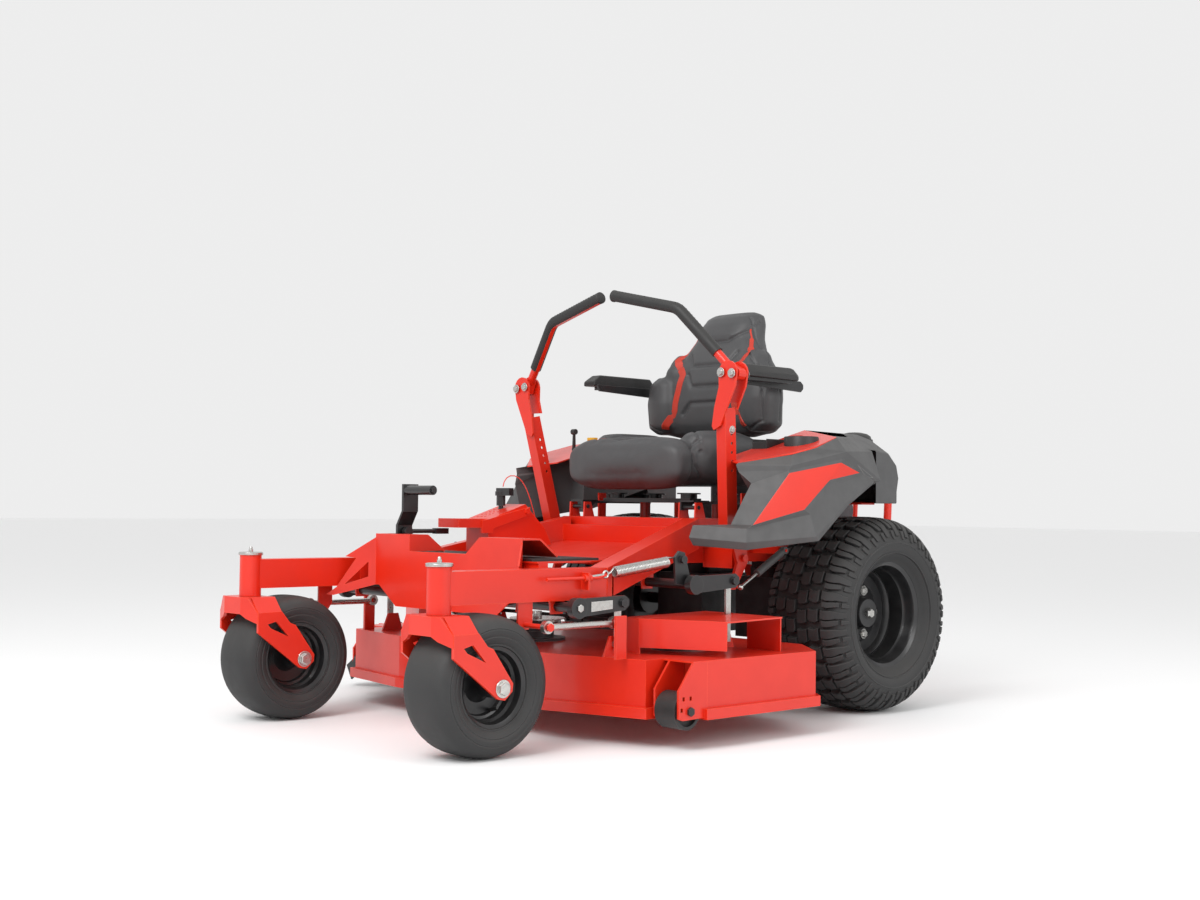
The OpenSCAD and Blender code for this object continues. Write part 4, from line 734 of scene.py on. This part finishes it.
for side in ("left", "right"):
    turned = (lambda shape: shape) if side == "left" else (lambda shape: shape.mirrored())
    fender = Shape()
    add_named(fender, grey_faces)
    add_named(fender, insert_faces, 1)
    shell = turned(fender).piece(f"fender_shell_{side}", "frame", grey_plastic, red_paint, smooth=20,
                                 stands_for=[f"fender_{side}"])
    merge_points(shell)
    wall = shell.modifiers.new("wall", "SOLIDIFY")
    wall.thickness, wall.offset = 0.004, -1
    soft = shell.modifiers.new("creases", "BEVEL")
    soft.width, soft.segments, soft.limit_method, soft.angle_limit = 0.0022, 3, "ANGLE", math.radians(9)
    soft.harden_normals = True

    top = Shape()
    outline = [(x, y, top_height(y) + 0.0015) for x, y, z in (corners[name] for name in top_outline)]
    if side == "left":
        holes = [ring_of_points(cup_centre, cup_radius + 0.003, lambda y: top_height(y) + 0.0015),
                 [(x, y, top_height(y) + 0.0015) for x, y in ((tray_low[0], tray_low[1]),
                                                              (tray_high[0], tray_low[1]),
                                                              (tray_high[0], tray_high[1]),
                                                              (tray_low[0], tray_high[1]))]]
    else:
        holes = []
    holed_plate(top, outline, holes, 0.004)
    turned(top).piece(f"fender_top_{side}", "frame", red_paint, bevel=0.0012)

    hood = Shape()
    sections = [(0.345, [(1.372, 0.807), (1.420, 0.802), (1.478, 0.790), (1.540, 0.742), (1.556, 0.700),
                         (1.548, 0.640)]),
                (0.500, [(1.350, 0.792), (1.418, 0.792), (1.478, 0.780), (1.536, 0.734), (1.552, 0.694),
                         (1.546, 0.640)]),
                (0.562, [(1.372, 0.748), (1.424, 0.745), (1.484, 0.738), (1.522, 0.704), (1.532, 0.668),
                         (1.524, 0.630)])]
    hood_points = [(x, y, z) for x, line in sections for y, z in line]
    n = len(sections[0][1])
    hood_faces = [(r * n + k, r * n + k + 1, (r + 1) * n + k + 1,
                   (r + 1) * n + k) for r in range(2) for k in range(n - 1)]
    low_start = len(hood_points)
    hood_points += [(x, line[k][0], 0.596) for x, line in sections for k in (1, n - 1)]
    hood_faces += [(1, 0, low_start), tuple([1] + list(range(2, n)) + [low_start + 1, low_start]),
                   (n - 1, 2 * n - 1, low_start + 3, low_start + 1),
                   (2 * n - 1, 3 * n - 1, low_start + 5, low_start + 3),
                   tuple(list(range(3 * n - 1, 2 * n, -1)) + [low_start + 4, low_start + 5]),
                   (low_start, low_start + 1, low_start + 3, low_start + 2),
                   (low_start + 2, low_start + 3, low_start + 5, low_start + 4)]
    hood.add(hood_points, hood_faces)
    cover = turned(hood).piece(f"tank_hood_{side}", "frame", grey_plastic, smooth=20,
                               stands_for=["fuel_tanks"] if side == "left" else [])
    merge_points(cover)
    soft = cover.modifiers.new("creases", "BEVEL")
    soft.width, soft.segments, soft.limit_method, soft.angle_limit = 0.004, 3, "ANGLE", math.radians(9)
    soft.harden_normals = True
print("fenders made")

# %% Cup holder and tray
holder = Shape()
turn_profile(holder, [(0.001, 0.7195), (cup_radius - 0.001, 0.7195), (cup_radius, 0.724),
                      (cup_radius, 0.776),
                      (cup_radius + 0.0015, 0.7785), (cup_radius + 0.004, 0.7785),
                      (cup_radius + 0.0055, 0.776),
                      (cup_radius + 0.0055, 0.714), (0.001, 0.714)], (*cup_centre, 0), (0, 0, 1), steps=56,
                      caps=False)
wall = 0.003
for low, high in (((tray_low[0], tray_low[1], 0.7445), (tray_high[0], tray_high[1], 0.7478)),
                  ((tray_low[0] - wall, tray_low[1] - wall, 0.715),
                   (tray_low[0], tray_high[1] + wall, 0.772)),
                  ((tray_high[0], tray_low[1] - wall, 0.715),
                   (tray_high[0] + wall, tray_high[1] + wall, 0.772)),
                  ((tray_low[0], tray_low[1] - wall, 0.715), (tray_high[0], tray_low[1], 0.764)),
                  ((tray_low[0], tray_high[1], 0.715), (tray_high[0], tray_high[1] + wall, 0.784))):
    box(holder, low, high)
holder.piece("cup_and_tray", "frame", black_plastic, bevel=0.0008)

# %% Fuel cap
cap = Shape()
turn_profile(cap, [(0.048, 0.738), (0.050, 0.742), (0.050, 0.778), (0.046, 0.790), (0.036, 0.797),
                   (0.018, 0.801),
                   (0.001, 0.802)], (0.45, 1.47, 0), (0, 0, 1), steps=72, caps=False)
for k in range(24):
    rib_angle = 2 * math.pi * k / 24
    middle = Vector((0.45 + 0.0500 * math.cos(rib_angle), 1.47 + 0.0500 * math.sin(rib_angle), 0))
    turn_profile(cap, [(0.0028, 0.745), (0.0032, 0.748), (0.0032, 0.776), (0.0022, 0.781)], middle,
                 (0, 0, 1), steps=8)
cap.piece("fuel_cap_ribbed", "fuel_cap", black_plastic, smooth=50, stands_for=["fuel_cap"])
print("cup holder, tray and fuel cap made")

# %% [markdown]
# ## Padding
# The seat is foam under stitched vinyl. Rounded forms for the base, the side bolsters and the front roll
# are joined by a voxel remesh into one closed skin. Cloth with inside pressure then swells that skin, which
# gives the full look of foam and the soft valleys between the forms. After it, seams are sewn in: every
# point close to a seam line is drawn inwards a few millimetres.

# %% Rounded forms
import numpy as np
from mathutils.bvhtree import BVHTree


def rounded_form(shape, centre, half, power=0.4, turn_x=0.0, across=36, rows=24):
    tilt_by = Matrix.Rotation(turn_x, 3, "X")
    points, faces = [], []

    def signed(value):
        return math.copysign(abs(value) ** power, value)

    for r in range(1, rows):
        rise = -math.pi / 2 + math.pi * r / rows
        for c in range(across):
            turn_by = 2 * math.pi * c / across
            flat = Vector((half[0] * signed(math.cos(rise)) * signed(math.cos(turn_by)),
                           half[1] * signed(math.cos(rise)) * signed(math.sin(turn_by)),
                           half[2] * signed(math.sin(rise))))
            points.append(Vector(centre) + tilt_by @ flat)
    for r in range(rows - 2):
        for c in range(across):
            n = (c + 1) % across
            faces.append((r * across + c, r * across + n, (r + 1) * across + n, (r + 1) * across + c))
    faces += [tuple(reversed(range(across))), tuple((rows - 2) * across + c for c in range(across))]
    shape.add(points, faces)


# %% Swell a skin with cloth
def swell(shape, name, body, material, voxel=0.006, limit=0.010, push_out=4.0, stands_for=()):
    mesh = bpy.data.meshes.new(name)
    mesh.from_pydata(shape.points, [], shape.faces)
    raw = bpy.data.objects.new(name, mesh)
    bpy.context.scene.collection.objects.link(raw)
    skin = raw.modifiers.new("skin", "REMESH")
    skin.mode = "VOXEL"
    skin.voxel_size = voxel
    settled = bpy.data.meshes.new_from_object(raw.evaluated_get(bpy.context.evaluated_depsgraph_get()))
    raw.modifiers.clear()
    raw.data = settled
    start = np.array([v.co for v in settled.vertices])
    cloth = raw.modifiers.new("cloth", "CLOTH")
    cloth.settings.use_pressure = True
    cloth.settings.uniform_pressure_force = push_out
    cloth.settings.quality = 4
    cloth.settings.effector_weights.gravity = 0
    cloth.settings.tension_stiffness = 12
    cloth.settings.bending_stiffness = 2
    scene = bpy.context.scene
    for number in range(1, 21):
        scene.frame_set(number)
    puffed = bpy.data.meshes.new_from_object(raw.evaluated_get(bpy.context.evaluated_depsgraph_get()))
    raw.modifiers.clear()
    moved_to = np.array([v.co for v in puffed.vertices])
    scene.frame_set(1)
    shift = moved_to - start
    length = np.linalg.norm(shift, axis=1, keepdims=True)
    start = start + shift * np.minimum(1.0, limit / np.maximum(length, 1e-9))
    settled.vertices.foreach_set("co", start.astype(np.float32).ravel())
    work = bmesh.new()
    work.from_mesh(settled)
    for _ in range(4):
        bmesh.ops.smooth_vert(work, verts=work.verts, factor=0.5, use_axis_x=True, use_axis_y=True,
                              use_axis_z=True)
    bmesh.ops.subdivide_edges(work, edges=work.edges, cuts=1, use_grid_fill=True, smooth=0.0)
    work.to_mesh(settled)
    work.free()
    settled.materials.clear()
    settled.materials.append(material)
    settled.polygons.foreach_set("use_smooth", [True] * len(settled.polygons))
    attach(raw, body)
    if stands_for:
        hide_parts(*stands_for)
    return raw


# %% Seams and bands on a swollen skin
def drop_on(thing, points, way):
    tree = BVHTree.FromPolygons([v.co.copy() for v in thing.data.vertices],
                                [tuple(p.vertices) for p in thing.data.polygons])
    way = Vector(way).normalized()
    found = []
    for point in points:
        hit = tree.ray_cast(Vector(point) - way * 0.3, way)
        if hit[0] is not None:
            found.append((hit[0], hit[1]))
    return found


def fine_route(route, step=0.004):
    fine = []
    for a, b in zip(route, route[1:]):
        a, b = Vector(a), Vector(b)
        count = max(1, int((b - a).length / step))
        fine += [a.lerp(b, i / count) for i in range(count)]
    return fine + [Vector(route[-1])]


def sew(thing, routes, depth=0.004, reach=0.006):
    mesh = thing.data
    places = np.empty(len(mesh.vertices) * 3)
    mesh.vertices.foreach_get("co", places)
    places = places.reshape(-1, 3)
    normals = np.array([v.normal for v in mesh.vertices])
    nearest = np.full(len(places), 1.0)
    for route in routes:
        line = np.array([tuple(p) for p in route])
        low, high = line.min(0) - 0.03, line.max(0) + 0.03
        close = np.where(((places > low) & (places < high)).all(1))[0]
        for point in line:
            away = np.linalg.norm(places[close] - point, axis=1)
            nearest[close] = np.minimum(nearest[close], away)
    pull = depth * np.exp(-(nearest / reach) ** 2)
    places -= normals * pull[:, None]
    mesh.vertices.foreach_set("co", places.astype(np.float32).ravel())
    mesh.update()


def ribbon_on(shape, found, width, lift, sideways, mark=0):
    points, count = [], len(found)
    widths = width if isinstance(width, list) else [width] * count
    for i, (place, normal) in enumerate(found):
        ahead_way = (found[min(i + 1, count - 1)][0] - found[max(i - 1, 0)][0]).normalized()
        side_way = ahead_way.cross(normal).normalized()
        half_width = widths[min(len(widths) - 1, int(i * len(widths) / count))] / 2
        for share, out in ((-1, -0.002), (-0.86, lift), (0.86, lift), (1, -0.002)):
            points.append(place + side_way * half_width * share + normal * out)
    faces = []
    for i in range(count - 1):
        for k in range(3):
            faces.append((4 * i + k, 4 * i + k + 1, 4 * i + 5 + k, 4 * i + 4 + k))
    shape.add(points, faces, mark)


# %% [markdown]
# ## Seat cushion and back
# The cushion has a deep front roll, two raised bolsters at the sides and a dished middle. The back leans
# eight degrees; it is wide at the bottom and narrows to a head panel, with two slanting painted bands and
# three pressed ribs between them.

# %% Seat cushion
cushion = Shape()
rounded_form(cushion, (0, 1.150, 0.706), (0.230, 0.190, 0.056), 0.34)
rounded_form(cushion, (0, 0.988, 0.704), (0.238, 0.056, 0.066), 0.50)
for x in (-0.186, 0.186):
    rounded_form(cushion, (x, 1.190, 0.722), (0.056, 0.150, 0.070), 0.50)
rounded_form(cushion, (0, 1.285, 0.712), (0.215, 0.050, 0.060), 0.5)
seat_pad = swell(cushion, "seat_pad", "seat", seat_vinyl, limit=0.010, stands_for=["seat_cushion"])
panel_seam = [(-0.150, 1.290, 0.9), (-0.150, 1.010, 0.9), (-0.120, 0.978, 0.9), (0.120, 0.978, 0.9),
              (0.150, 1.010, 0.9), (0.150, 1.290, 0.9)]
top_line = [p for p, n in drop_on(seat_pad, fine_route(panel_seam), (0, 0, -1))]
side_lines = []
for side in (1, -1):
    route = [(side * 0.5, 1.060, 0.770), (side * 0.5, 1.030, 0.740), (side * 0.5, 1.040, 0.700),
             (side * 0.5, 1.075, 0.660)]
    side_lines.append([p for p, n in drop_on(seat_pad, fine_route(route), (-side, 0, 0))])
    over_top = [(side * 0.150, 1.110, 0.9), (side * 0.185, 1.075, 0.9), (side * 0.225, 1.060, 0.9)]
    side_lines.append([p for p, n in drop_on(seat_pad, fine_route(over_top), (0, 0, -1))])
cross_lines = [[p for p, n in drop_on(seat_pad, fine_route([(-0.14, y, 0.9), (0.14, y, 0.9)]), (0, 0, -1))]
               for y in (1.070, 1.150, 1.230)]
sew(seat_pad, [top_line] + side_lines, depth=0.0045, reach=0.0045)
sew(seat_pad, cross_lines, depth=0.0030, reach=0.006)
chevron = Shape()
chevron_route = [(-0.168, 0.985, 0.9), (-0.148, 1.010, 0.9), (-0.100, 0.998, 0.9)]
ribbon_on(chevron, drop_on(seat_pad, fine_route(chevron_route), (0, 0, -1)),
          [0.006, 0.014, 0.018, 0.012, 0.005], 0.0012, 1)
chevron.piece("seat_mark", "seat", red_vinyl, red_vinyl)
print("seat pad points", len(seat_pad.data.vertices))

# %% Seat back
def back_form(shape, stations, middle_x=0.0, power=2.6, count=44):
    points, rows = [], len(stations)
    for z, half_width, front_y, depth in stations:
        for k in range(count):
            angle = 2 * math.pi * k / count
            sweep_x, sweep_y = math.cos(angle), math.sin(angle)
            points.append((middle_x + half_width * math.copysign(abs(sweep_x) ** (2 / power), sweep_x),
                           front_y + depth / 2 + depth / 2 * math.copysign(abs(sweep_y) ** (2 / power),
                                                                           sweep_y), z))
    faces = [tuple(reversed(range(count))), tuple((rows - 1) * count + k for k in range(count))]
    for r in range(rows - 1):
        for k in range(count):
            n = (k + 1) % count
            faces.append((r * count + k, r * count + n, (r + 1) * count + n, (r + 1) * count + k))
    shape.add(points, faces)


backrest = Shape()
back_form(backrest, [(0.786, 0.150, 1.350, 0.060), (0.800, 0.216, 1.330, 0.092),
                     (0.826, 0.246, 1.318, 0.112),
                     (0.900, 0.252, 1.312, 0.122), (0.965, 0.244, 1.320, 0.120),
                     (1.010, 0.208, 1.334, 0.116),
                     (1.055, 0.162, 1.354, 0.110), (1.100, 0.134, 1.378, 0.102),
                     (1.148, 0.122, 1.402, 0.090),
                     (1.176, 0.112, 1.420, 0.068), (1.188, 0.084, 1.436, 0.036)])
for side in (-1, 1):
    back_form(backrest, [(0.800, 0.030, 1.320, 0.060), (0.822, 0.058, 1.298, 0.100),
                         (0.900, 0.062, 1.292, 0.110),
                         (0.960, 0.056, 1.300, 0.104), (0.985, 0.034, 1.320, 0.070)], middle_x=side * 0.198,
                         count=32)
    back_form(backrest, [(0.975, 0.030, 1.322, 0.080), (1.000, 0.044, 1.324, 0.090),
                         (1.040, 0.034, 1.344, 0.080),
                         (1.060, 0.016, 1.362, 0.050)], middle_x=side * 0.160, count=28)
back_form(backrest, [(1.085, 0.066, 1.372, 0.050), (1.105, 0.098, 1.368, 0.080),
                     (1.145, 0.108, 1.388, 0.080),
                     (1.170, 0.098, 1.408, 0.060), (1.182, 0.066, 1.428, 0.030)], count=36)
back_pad = swell(backrest, "back_pad", "seat", seat_vinyl, limit=0.007, stands_for=["seat_back"])


def across_back(route):
    return drop_on(back_pad, fine_route([(x, 1.30, z) for x, z in route]), (0, 1, 0))


def places_of(found):
    return [place for place, normal in found]


back_lines = [places_of(across_back([(-0.122, 1.165), (-0.100, 1.118), (-0.046, 1.088), (0.046, 1.088),
                                     (0.100, 1.118), (0.122, 1.165)]))]
for side in (-1, 1):
    back_lines.append(places_of(across_back([(side * 0.150, 1.045), (side * 0.196, 0.995),
                                             (side * 0.238, 0.930),
                                             (side * 0.236, 0.835), (side * 0.190, 0.815)])))
    rear_band = [(side * 0.5, 1.415, 1.160), (side * 0.5, 1.400, 1.060), (side * 0.5, 1.372, 0.960),
                 (side * 0.5, 1.366, 0.840)]
    back_lines.append(places_of(drop_on(back_pad, fine_route(rear_band), (-side, 0, 0))))
ribs = [[(-0.096, 1.052), (-0.072, 1.016), (0.072, 1.016), (0.096, 1.052)],
        [(-0.080, 0.988), (-0.058, 0.950), (0.058, 0.950), (0.080, 0.988)],
        [(-0.090, 0.866), (-0.058, 0.898), (0.058, 0.898), (0.090, 0.866)]]
sew(back_pad, back_lines, depth=0.0045, reach=0.0045)
sew(back_pad, [places_of(across_back(rib)) for rib in ribs], depth=0.007, reach=0.007)
bands = Shape()
for side in (-1, 1):
    route = [(side * 0.103, 1.124), (side * 0.142, 1.036), (side * 0.104, 0.990), (side * 0.126, 0.880),
             (side * 0.166, 0.822)]
    ribbon_on(bands, across_back(route), [0.006, 0.014, 0.022, 0.028, 0.028, 0.028, 0.028, 0.028, 0.028,
                                          0.026],
              0.0012, 1)
bands.piece("back_bands", "seat", red_vinyl, red_vinyl)
print("back pad points", len(back_pad.data.vertices))

# %% [markdown]
# ## Armrests
# Each armrest is a firm moulded pad with chamfered ends on a bracket that swings up round a pin in the seat
# back. A chamfered outline pushed along the pad and then bevelled gives its flat top and sloping ends.

# %% Armrests
for side, name in ((1, "left"), (-1, "right")):
    pad = Shape()
    foot_z, top_z = 0.952, 0.987
    low_ring = [(0.282, 1.112), (0.330, 1.112), (0.334, 1.122), (0.334, 1.350), (0.318, 1.376),
                (0.282, 1.376)]
    high_ring = [(0.284, 1.140), (0.322, 1.140), (0.326, 1.150), (0.326, 1.330), (0.310, 1.360),
                 (0.284, 1.360)]
    points = [(side * x, y, z) for ring, z in ((low_ring, foot_z), (low_ring, foot_z + 0.014),
                                               (high_ring, top_z))
              for x, y in ring]
    count = len(low_ring)
    faces = [tuple(reversed(range(count))), tuple(2 * count + k for k in range(count))]
    faces += [(r * count + k, r * count + (k + 1) % count, (r + 1) * count + (k + 1) % count,
               (r + 1) * count + k)
              for r in range(2) for k in range(count)]
    pad.add(points, faces)
    pad.piece(f"armrest_pad_{name}", f"armrest_{name}", black_plastic, bevel=0.004, segments=3)
    bracket = Shape()
    blade = [(1.132, 0.936), (1.428, 0.924), (1.438, 0.934), (1.438, 0.946), (1.426, 0.956), (1.122, 0.956)]
    push(bracket, [(side * 0.2765, y, z) for y, z in blade], (side * 0.0075, 0, 0))
    box(bracket, (min(side * 0.284, side * 0.322), 1.150, 0.942),
        (max(side * 0.284, side * 0.322), 1.340, 0.952))
    bracket.piece(f"armrest_bracket_{name}", f"armrest_{name}", black_paint, bevel=0.001,
                  stands_for=[f"armrest_{name}"])
print("armrests made")

# %% [markdown]
# ## Control levers
# Foam grips with flat sides and fine ribs cover the bent upper part of each lever; a painted strip shows
# underneath. A section is carried along the bent path with its flats kept upright, so the ribs and the
# strip stay in line round the bend. The head plates below carry pairs of washer-faced bolts.


# %% Carry a section along a path
def rounded_path(points, radius=0.06, steps=8):
    points = [Vector(p) for p in points]
    result = [points[0]]
    for before, corner, after in zip(points, points[1:], points[2:]):
        into, out = (before - corner), (after - corner)
        reach_in = min(radius, into.length * 0.45)
        reach_out = min(radius, out.length * 0.45)
        first, last = corner + into.normalized() * reach_in, corner + out.normalized() * reach_out
        for k in range(steps + 1):
            t = k / steps
            result.append(first * (1 - t) ** 2 + corner * 2 * t * (1 - t) + last * t ** 2)
    return result + [points[-1]]


def carry(shape, path, section, upright, mark=0, marks=None):
    rings, count = [], len(section)
    for i, place in enumerate(path):
        way = (path[min(i + 1, len(path) - 1)] - path[max(i - 1, 0)]).normalized()
        side_way = way.cross(Vector(upright)).normalized()
        up_way = side_way.cross(way)
        rings += [place + side_way * u + up_way * v for u, v in section]
    faces, face_marks = [], []
    for i in range(len(path) - 1):
        for k in range(count):
            n = (k + 1) % count
            faces.append((i * count + k, i * count + n, (i + 1) * count + n, (i + 1) * count + k))
            face_marks.append(marks[k] if marks else mark)
    faces += [tuple(reversed(range(count))), tuple((len(path) - 1) * count + k for k in range(count))]
    face_marks += [mark, mark]
    for face_mark in sorted(set(face_marks)):
        shape.add(rings, [f for f, m in zip(faces, face_marks) if m == face_mark], face_mark)


# %% Lever grips
grip_section = [(-0.006, -0.0152), (0.006, -0.0152), (0.0125, -0.0110), (0.0165, -0.004), (0.0165, 0.006),
                (0.0110, 0.0135), (0.004, 0.0165), (-0.004, 0.0165), (-0.0110, 0.0135), (-0.0165, 0.006),
                (-0.0165, -0.004), (-0.0125, -0.0110)]
strip_marks = [1] + [0] * (len(grip_section) - 1)
grip_route = [(0.3795, 0.9573, 1.0000), (0.262, 0.922, 1.128), (0.033, 0.900, 1.180)]
for side, name in ((1, "left"), (-1, "right")):
    grip = Shape()
    path = rounded_path([(side * x, y, z) for x, y, z in grip_route], radius=0.018, steps=5)
    fine = fine_route(path, 0.006)
    carry(grip, fine, grip_section, (0, 0, 1), marks=strip_marks)
    total = len(fine)
    for i in range(int(total * 0.16), int(total * 0.96), 2):
        place, way = fine[i], (fine[min(i + 1, total - 1)] - fine[i - 1]).normalized()
        side_way = way.cross(Vector((0, 0, 1))).normalized()
        up_way = side_way.cross(way)
        half = way * 0.0012
        for sign in (-1, 1):
            a = place + side_way * 0.0145 * sign + up_way * 0.0080
            b = place + side_way * 0.0060 * sign + up_way * 0.0158
            out = (side_way * sign + up_way).normalized() * 0.0011
            grip.add([a - half, a + half, b + half, b - half, a - half + out, a + half + out, b + half + out,
                      b - half + out],
                     [(4, 5, 6, 7), (0, 1, 5, 4), (1, 2, 6, 5), (2, 3, 7, 6), (3, 0, 4, 7)])
    end_way = (fine[-1] - fine[-2]).normalized()
    turn_profile(grip, [(0.0165, -0.001), (0.0172, 0.001), (0.0172, 0.006), (0.0150, 0.0085),
                        (0.0030, 0.0090)],
                 fine[-1], end_way, steps=32)
    grip.piece(f"grip_{name}", f"lever_top_{name}", soft_rubber, red_paint, smooth=50,
               stands_for=[f"lever_grip_{name}"])
print("grips made")

# %% [markdown]
# ## Assist springs
# Two long tension springs help to lift the deck. The coil is a wire wound closely round the line between
# its two ends, so it is carried along a helix, with a hook at each end and an eyebolt in front.


# %% Springs
def helix(start, end, radius, turns, per_turn=14):
    start, end = Vector(start), Vector(end)
    along, first, second = cross_axes(end - start)
    count = int(turns * per_turn)
    return [start.lerp(end, k / count) + (first * math.cos(2 * math.pi * k / per_turn)
                                          + second * math.sin(2 * math.pi * k / per_turn)) * radius
            for k in range(count + 1)]


def round_section(radius, count=8):
    return [(radius * math.cos(2 * math.pi * k / count), radius * math.sin(2 * math.pi * k / count))
            for k in range(count)]


spring_x = 0.458
for side in (1, -1):
    front_end, rear_end = Vector((side * spring_x, 0.505, 0.417)), Vector((side * spring_x, 0.690, 0.439))
    coil = Shape()
    way = (rear_end - front_end).normalized()
    carry(coil, helix(front_end, rear_end, 0.0120, 38), round_section(0.0023, 6), way)
    rear_pin = Vector((side * spring_x, 0.733, 0.443))
    eye = Vector((side * spring_x, 0.482, 0.4125))
    carry(coil, fine_route([front_end + Vector((0, 0, 0.011)), eye + Vector((0, 0.010, 0.004)), eye], 0.004),
          round_section(0.0024), (1, 0, 0))
    carry(coil, fine_route([rear_end + Vector((0, 0, 0.011)), rear_pin + Vector((0, -0.012, 0.006)),
                            rear_pin], 0.004),
          round_section(0.0024), (1, 0, 0))
    loop = [eye + Vector((0, 0.008 * math.cos(t) - 0.006, 0.008 * math.sin(t))) for t in
            [2 * math.pi * k / 20 for k in range(21)]]
    carry(coil, loop, round_section(0.0028), (1, 0, 0))
    turn_profile(coil, [(0.0034, 0.0), (0.0034, 0.045)], eye + Vector((0, -0.014, -0.001)), (0, -1, -0.08),
                 steps=14)
    name = "left" if side > 0 else "right"
    coil.piece(f"assist_spring_{name}", "frame", bright_zinc, smooth=60)
    if side < 0:
        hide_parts("assist_springs")
print("springs made")

# %% [markdown]
# ## Bright hardware
# Washer-faced bolts and zinc caps are small, yet their highlights tell the eye that the machine is bolted
# together: two bolts on each lever head, the adjusting bolt on the post, the caps of the caster pivots with
# their grease nipples, the caster axle bolts, and a bright plate on each front lift arm.

# %% Bolts of the levers
for side, name in ((1, "left"), (-1, "right")):
    set_of_bolts = Shape()
    for x, z in ((0.449, 0.9395), (0.410, 0.9437)):
        bolt(set_of_bolts, (side * x, 0.9375, z), (0, -1, 0), size=0.0098)
        bolt(set_of_bolts, (side * 0.449, 0.9965, 0.9395), (0, 1, 0), size=0.0085)
    bolt(set_of_bolts, (side * 0.4142, 0.980, 0.790), (side, 0, -0.12), size=0.0085)
    set_of_bolts.piece(f"lever_bolts_{name}", f"lever_{name}", bright_zinc, bevel=0.0005)

# %% Caster caps and axle bolts
king_x, tube_top, fork_half = 0.415, 0.438, 0.0995
for side, name in ((1, "left"), (-1, "right")):
    trim = Shape()
    turn_profile(trim, [(0.030, 0.0), (0.0322, 0.0012), (0.0322, 0.0068), (0.0300, 0.0086),
                        (0.0090, 0.0092)],
                 (side * king_x, 0, tube_top + 0.0006), (0, 0, 1), steps=48)
    turn_profile(trim, [(0.0060, 0.0), (0.0060, 0.0070), (0.0036, 0.0085), (0.0048, 0.0110),
                        (0.0030, 0.0145)],
                 (side * king_x, 0, tube_top + 0.0090), (0, 0, 1), steps=16)
    for way in (1, -1):
        bolt(trim, (side * king_x + way * fork_half, 0.109, 0.165), (way, 0, 0), size=0.0158)
    trim.piece(f"caster_trim_{name}", f"caster_{name}", bright_zinc, smooth=40, bevel=0.0006)

# %% Bright plates of the lift arms
plates = Shape()
arm_face_x = 0.4982
plate_outline = [(0.392, 0.326), (0.462, 0.331), (0.462, 0.352), (0.392, 0.350)]
for side in (1, -1):
    push(plates, [(side * arm_face_x, y, z) for y, z in plate_outline], (side * 0.0012, 0, 0))
    bolt(plates, (side * 0.4980, 0.354, 0.336), (side, 0, 0), size=0.0100)
plates.piece("front_arm_plates", "front_lift", bright_zinc, bevel=0.0003)
print("bright hardware made")

# %% [markdown]
# ## Light and floor
# A pale floor and a bright, even sky give soft shadows like those of a studio. One large lamp high on the
# left front makes the long highlights on the paint, and a weaker one opens up the shaded side.

# %% Floor
floor_mesh = bpy.data.meshes.new("floor")
reach = 40
floor_mesh.from_pydata([(-reach, -reach, 0), (reach, -reach, 0), (reach, reach, 0), (-reach, reach, 0)], [],
                       [(0, 1, 2, 3)])
floor = bpy.data.objects.new("floor", floor_mesh)
bpy.context.scene.collection.objects.link(floor)
floor_paint = bpy.data.materials.new("floor_paint")
floor_paint.use_nodes = True
floor_shader = floor_paint.node_tree.nodes["Principled BSDF"]
floor_shader.inputs["Base Color"].default_value = (0.93, 0.93, 0.93, 1)
floor_shader.inputs["Roughness"].default_value = 0.7
floor_mesh.materials.append(floor_paint)
print("floor", 2 * reach, "m wide")

# %% Sky and lamps
sky = bpy.data.worlds.new("studio")
sky.use_nodes = True
sky.node_tree.nodes["Background"].inputs["Color"].default_value = (1, 1, 1, 1)
sky.node_tree.nodes["Background"].inputs["Strength"].default_value = 0.85
bpy.context.scene.world = sky


def soft_lamp(name, place, target, size, power):
    data = bpy.data.lights.new(name, "AREA")
    data.size = size
    data.energy = power
    lamp = bpy.data.objects.new(name, data)
    bpy.context.scene.collection.objects.link(lamp)
    lamp.location = place
    lamp.rotation_euler = (Vector(target) - Vector(place)).to_track_quat("-Z", "Y").to_euler()
    return lamp


middle = (0, 0.9, 0.4)
soft_lamp("key_lamp", (1.0, -2.6, 3.6), middle, 2.2, 130)
soft_lamp("side_lamp", (4.2, 1.6, 2.2), middle, 2.0, 45)
bpy.context.scene.view_settings.view_transform = "Standard"
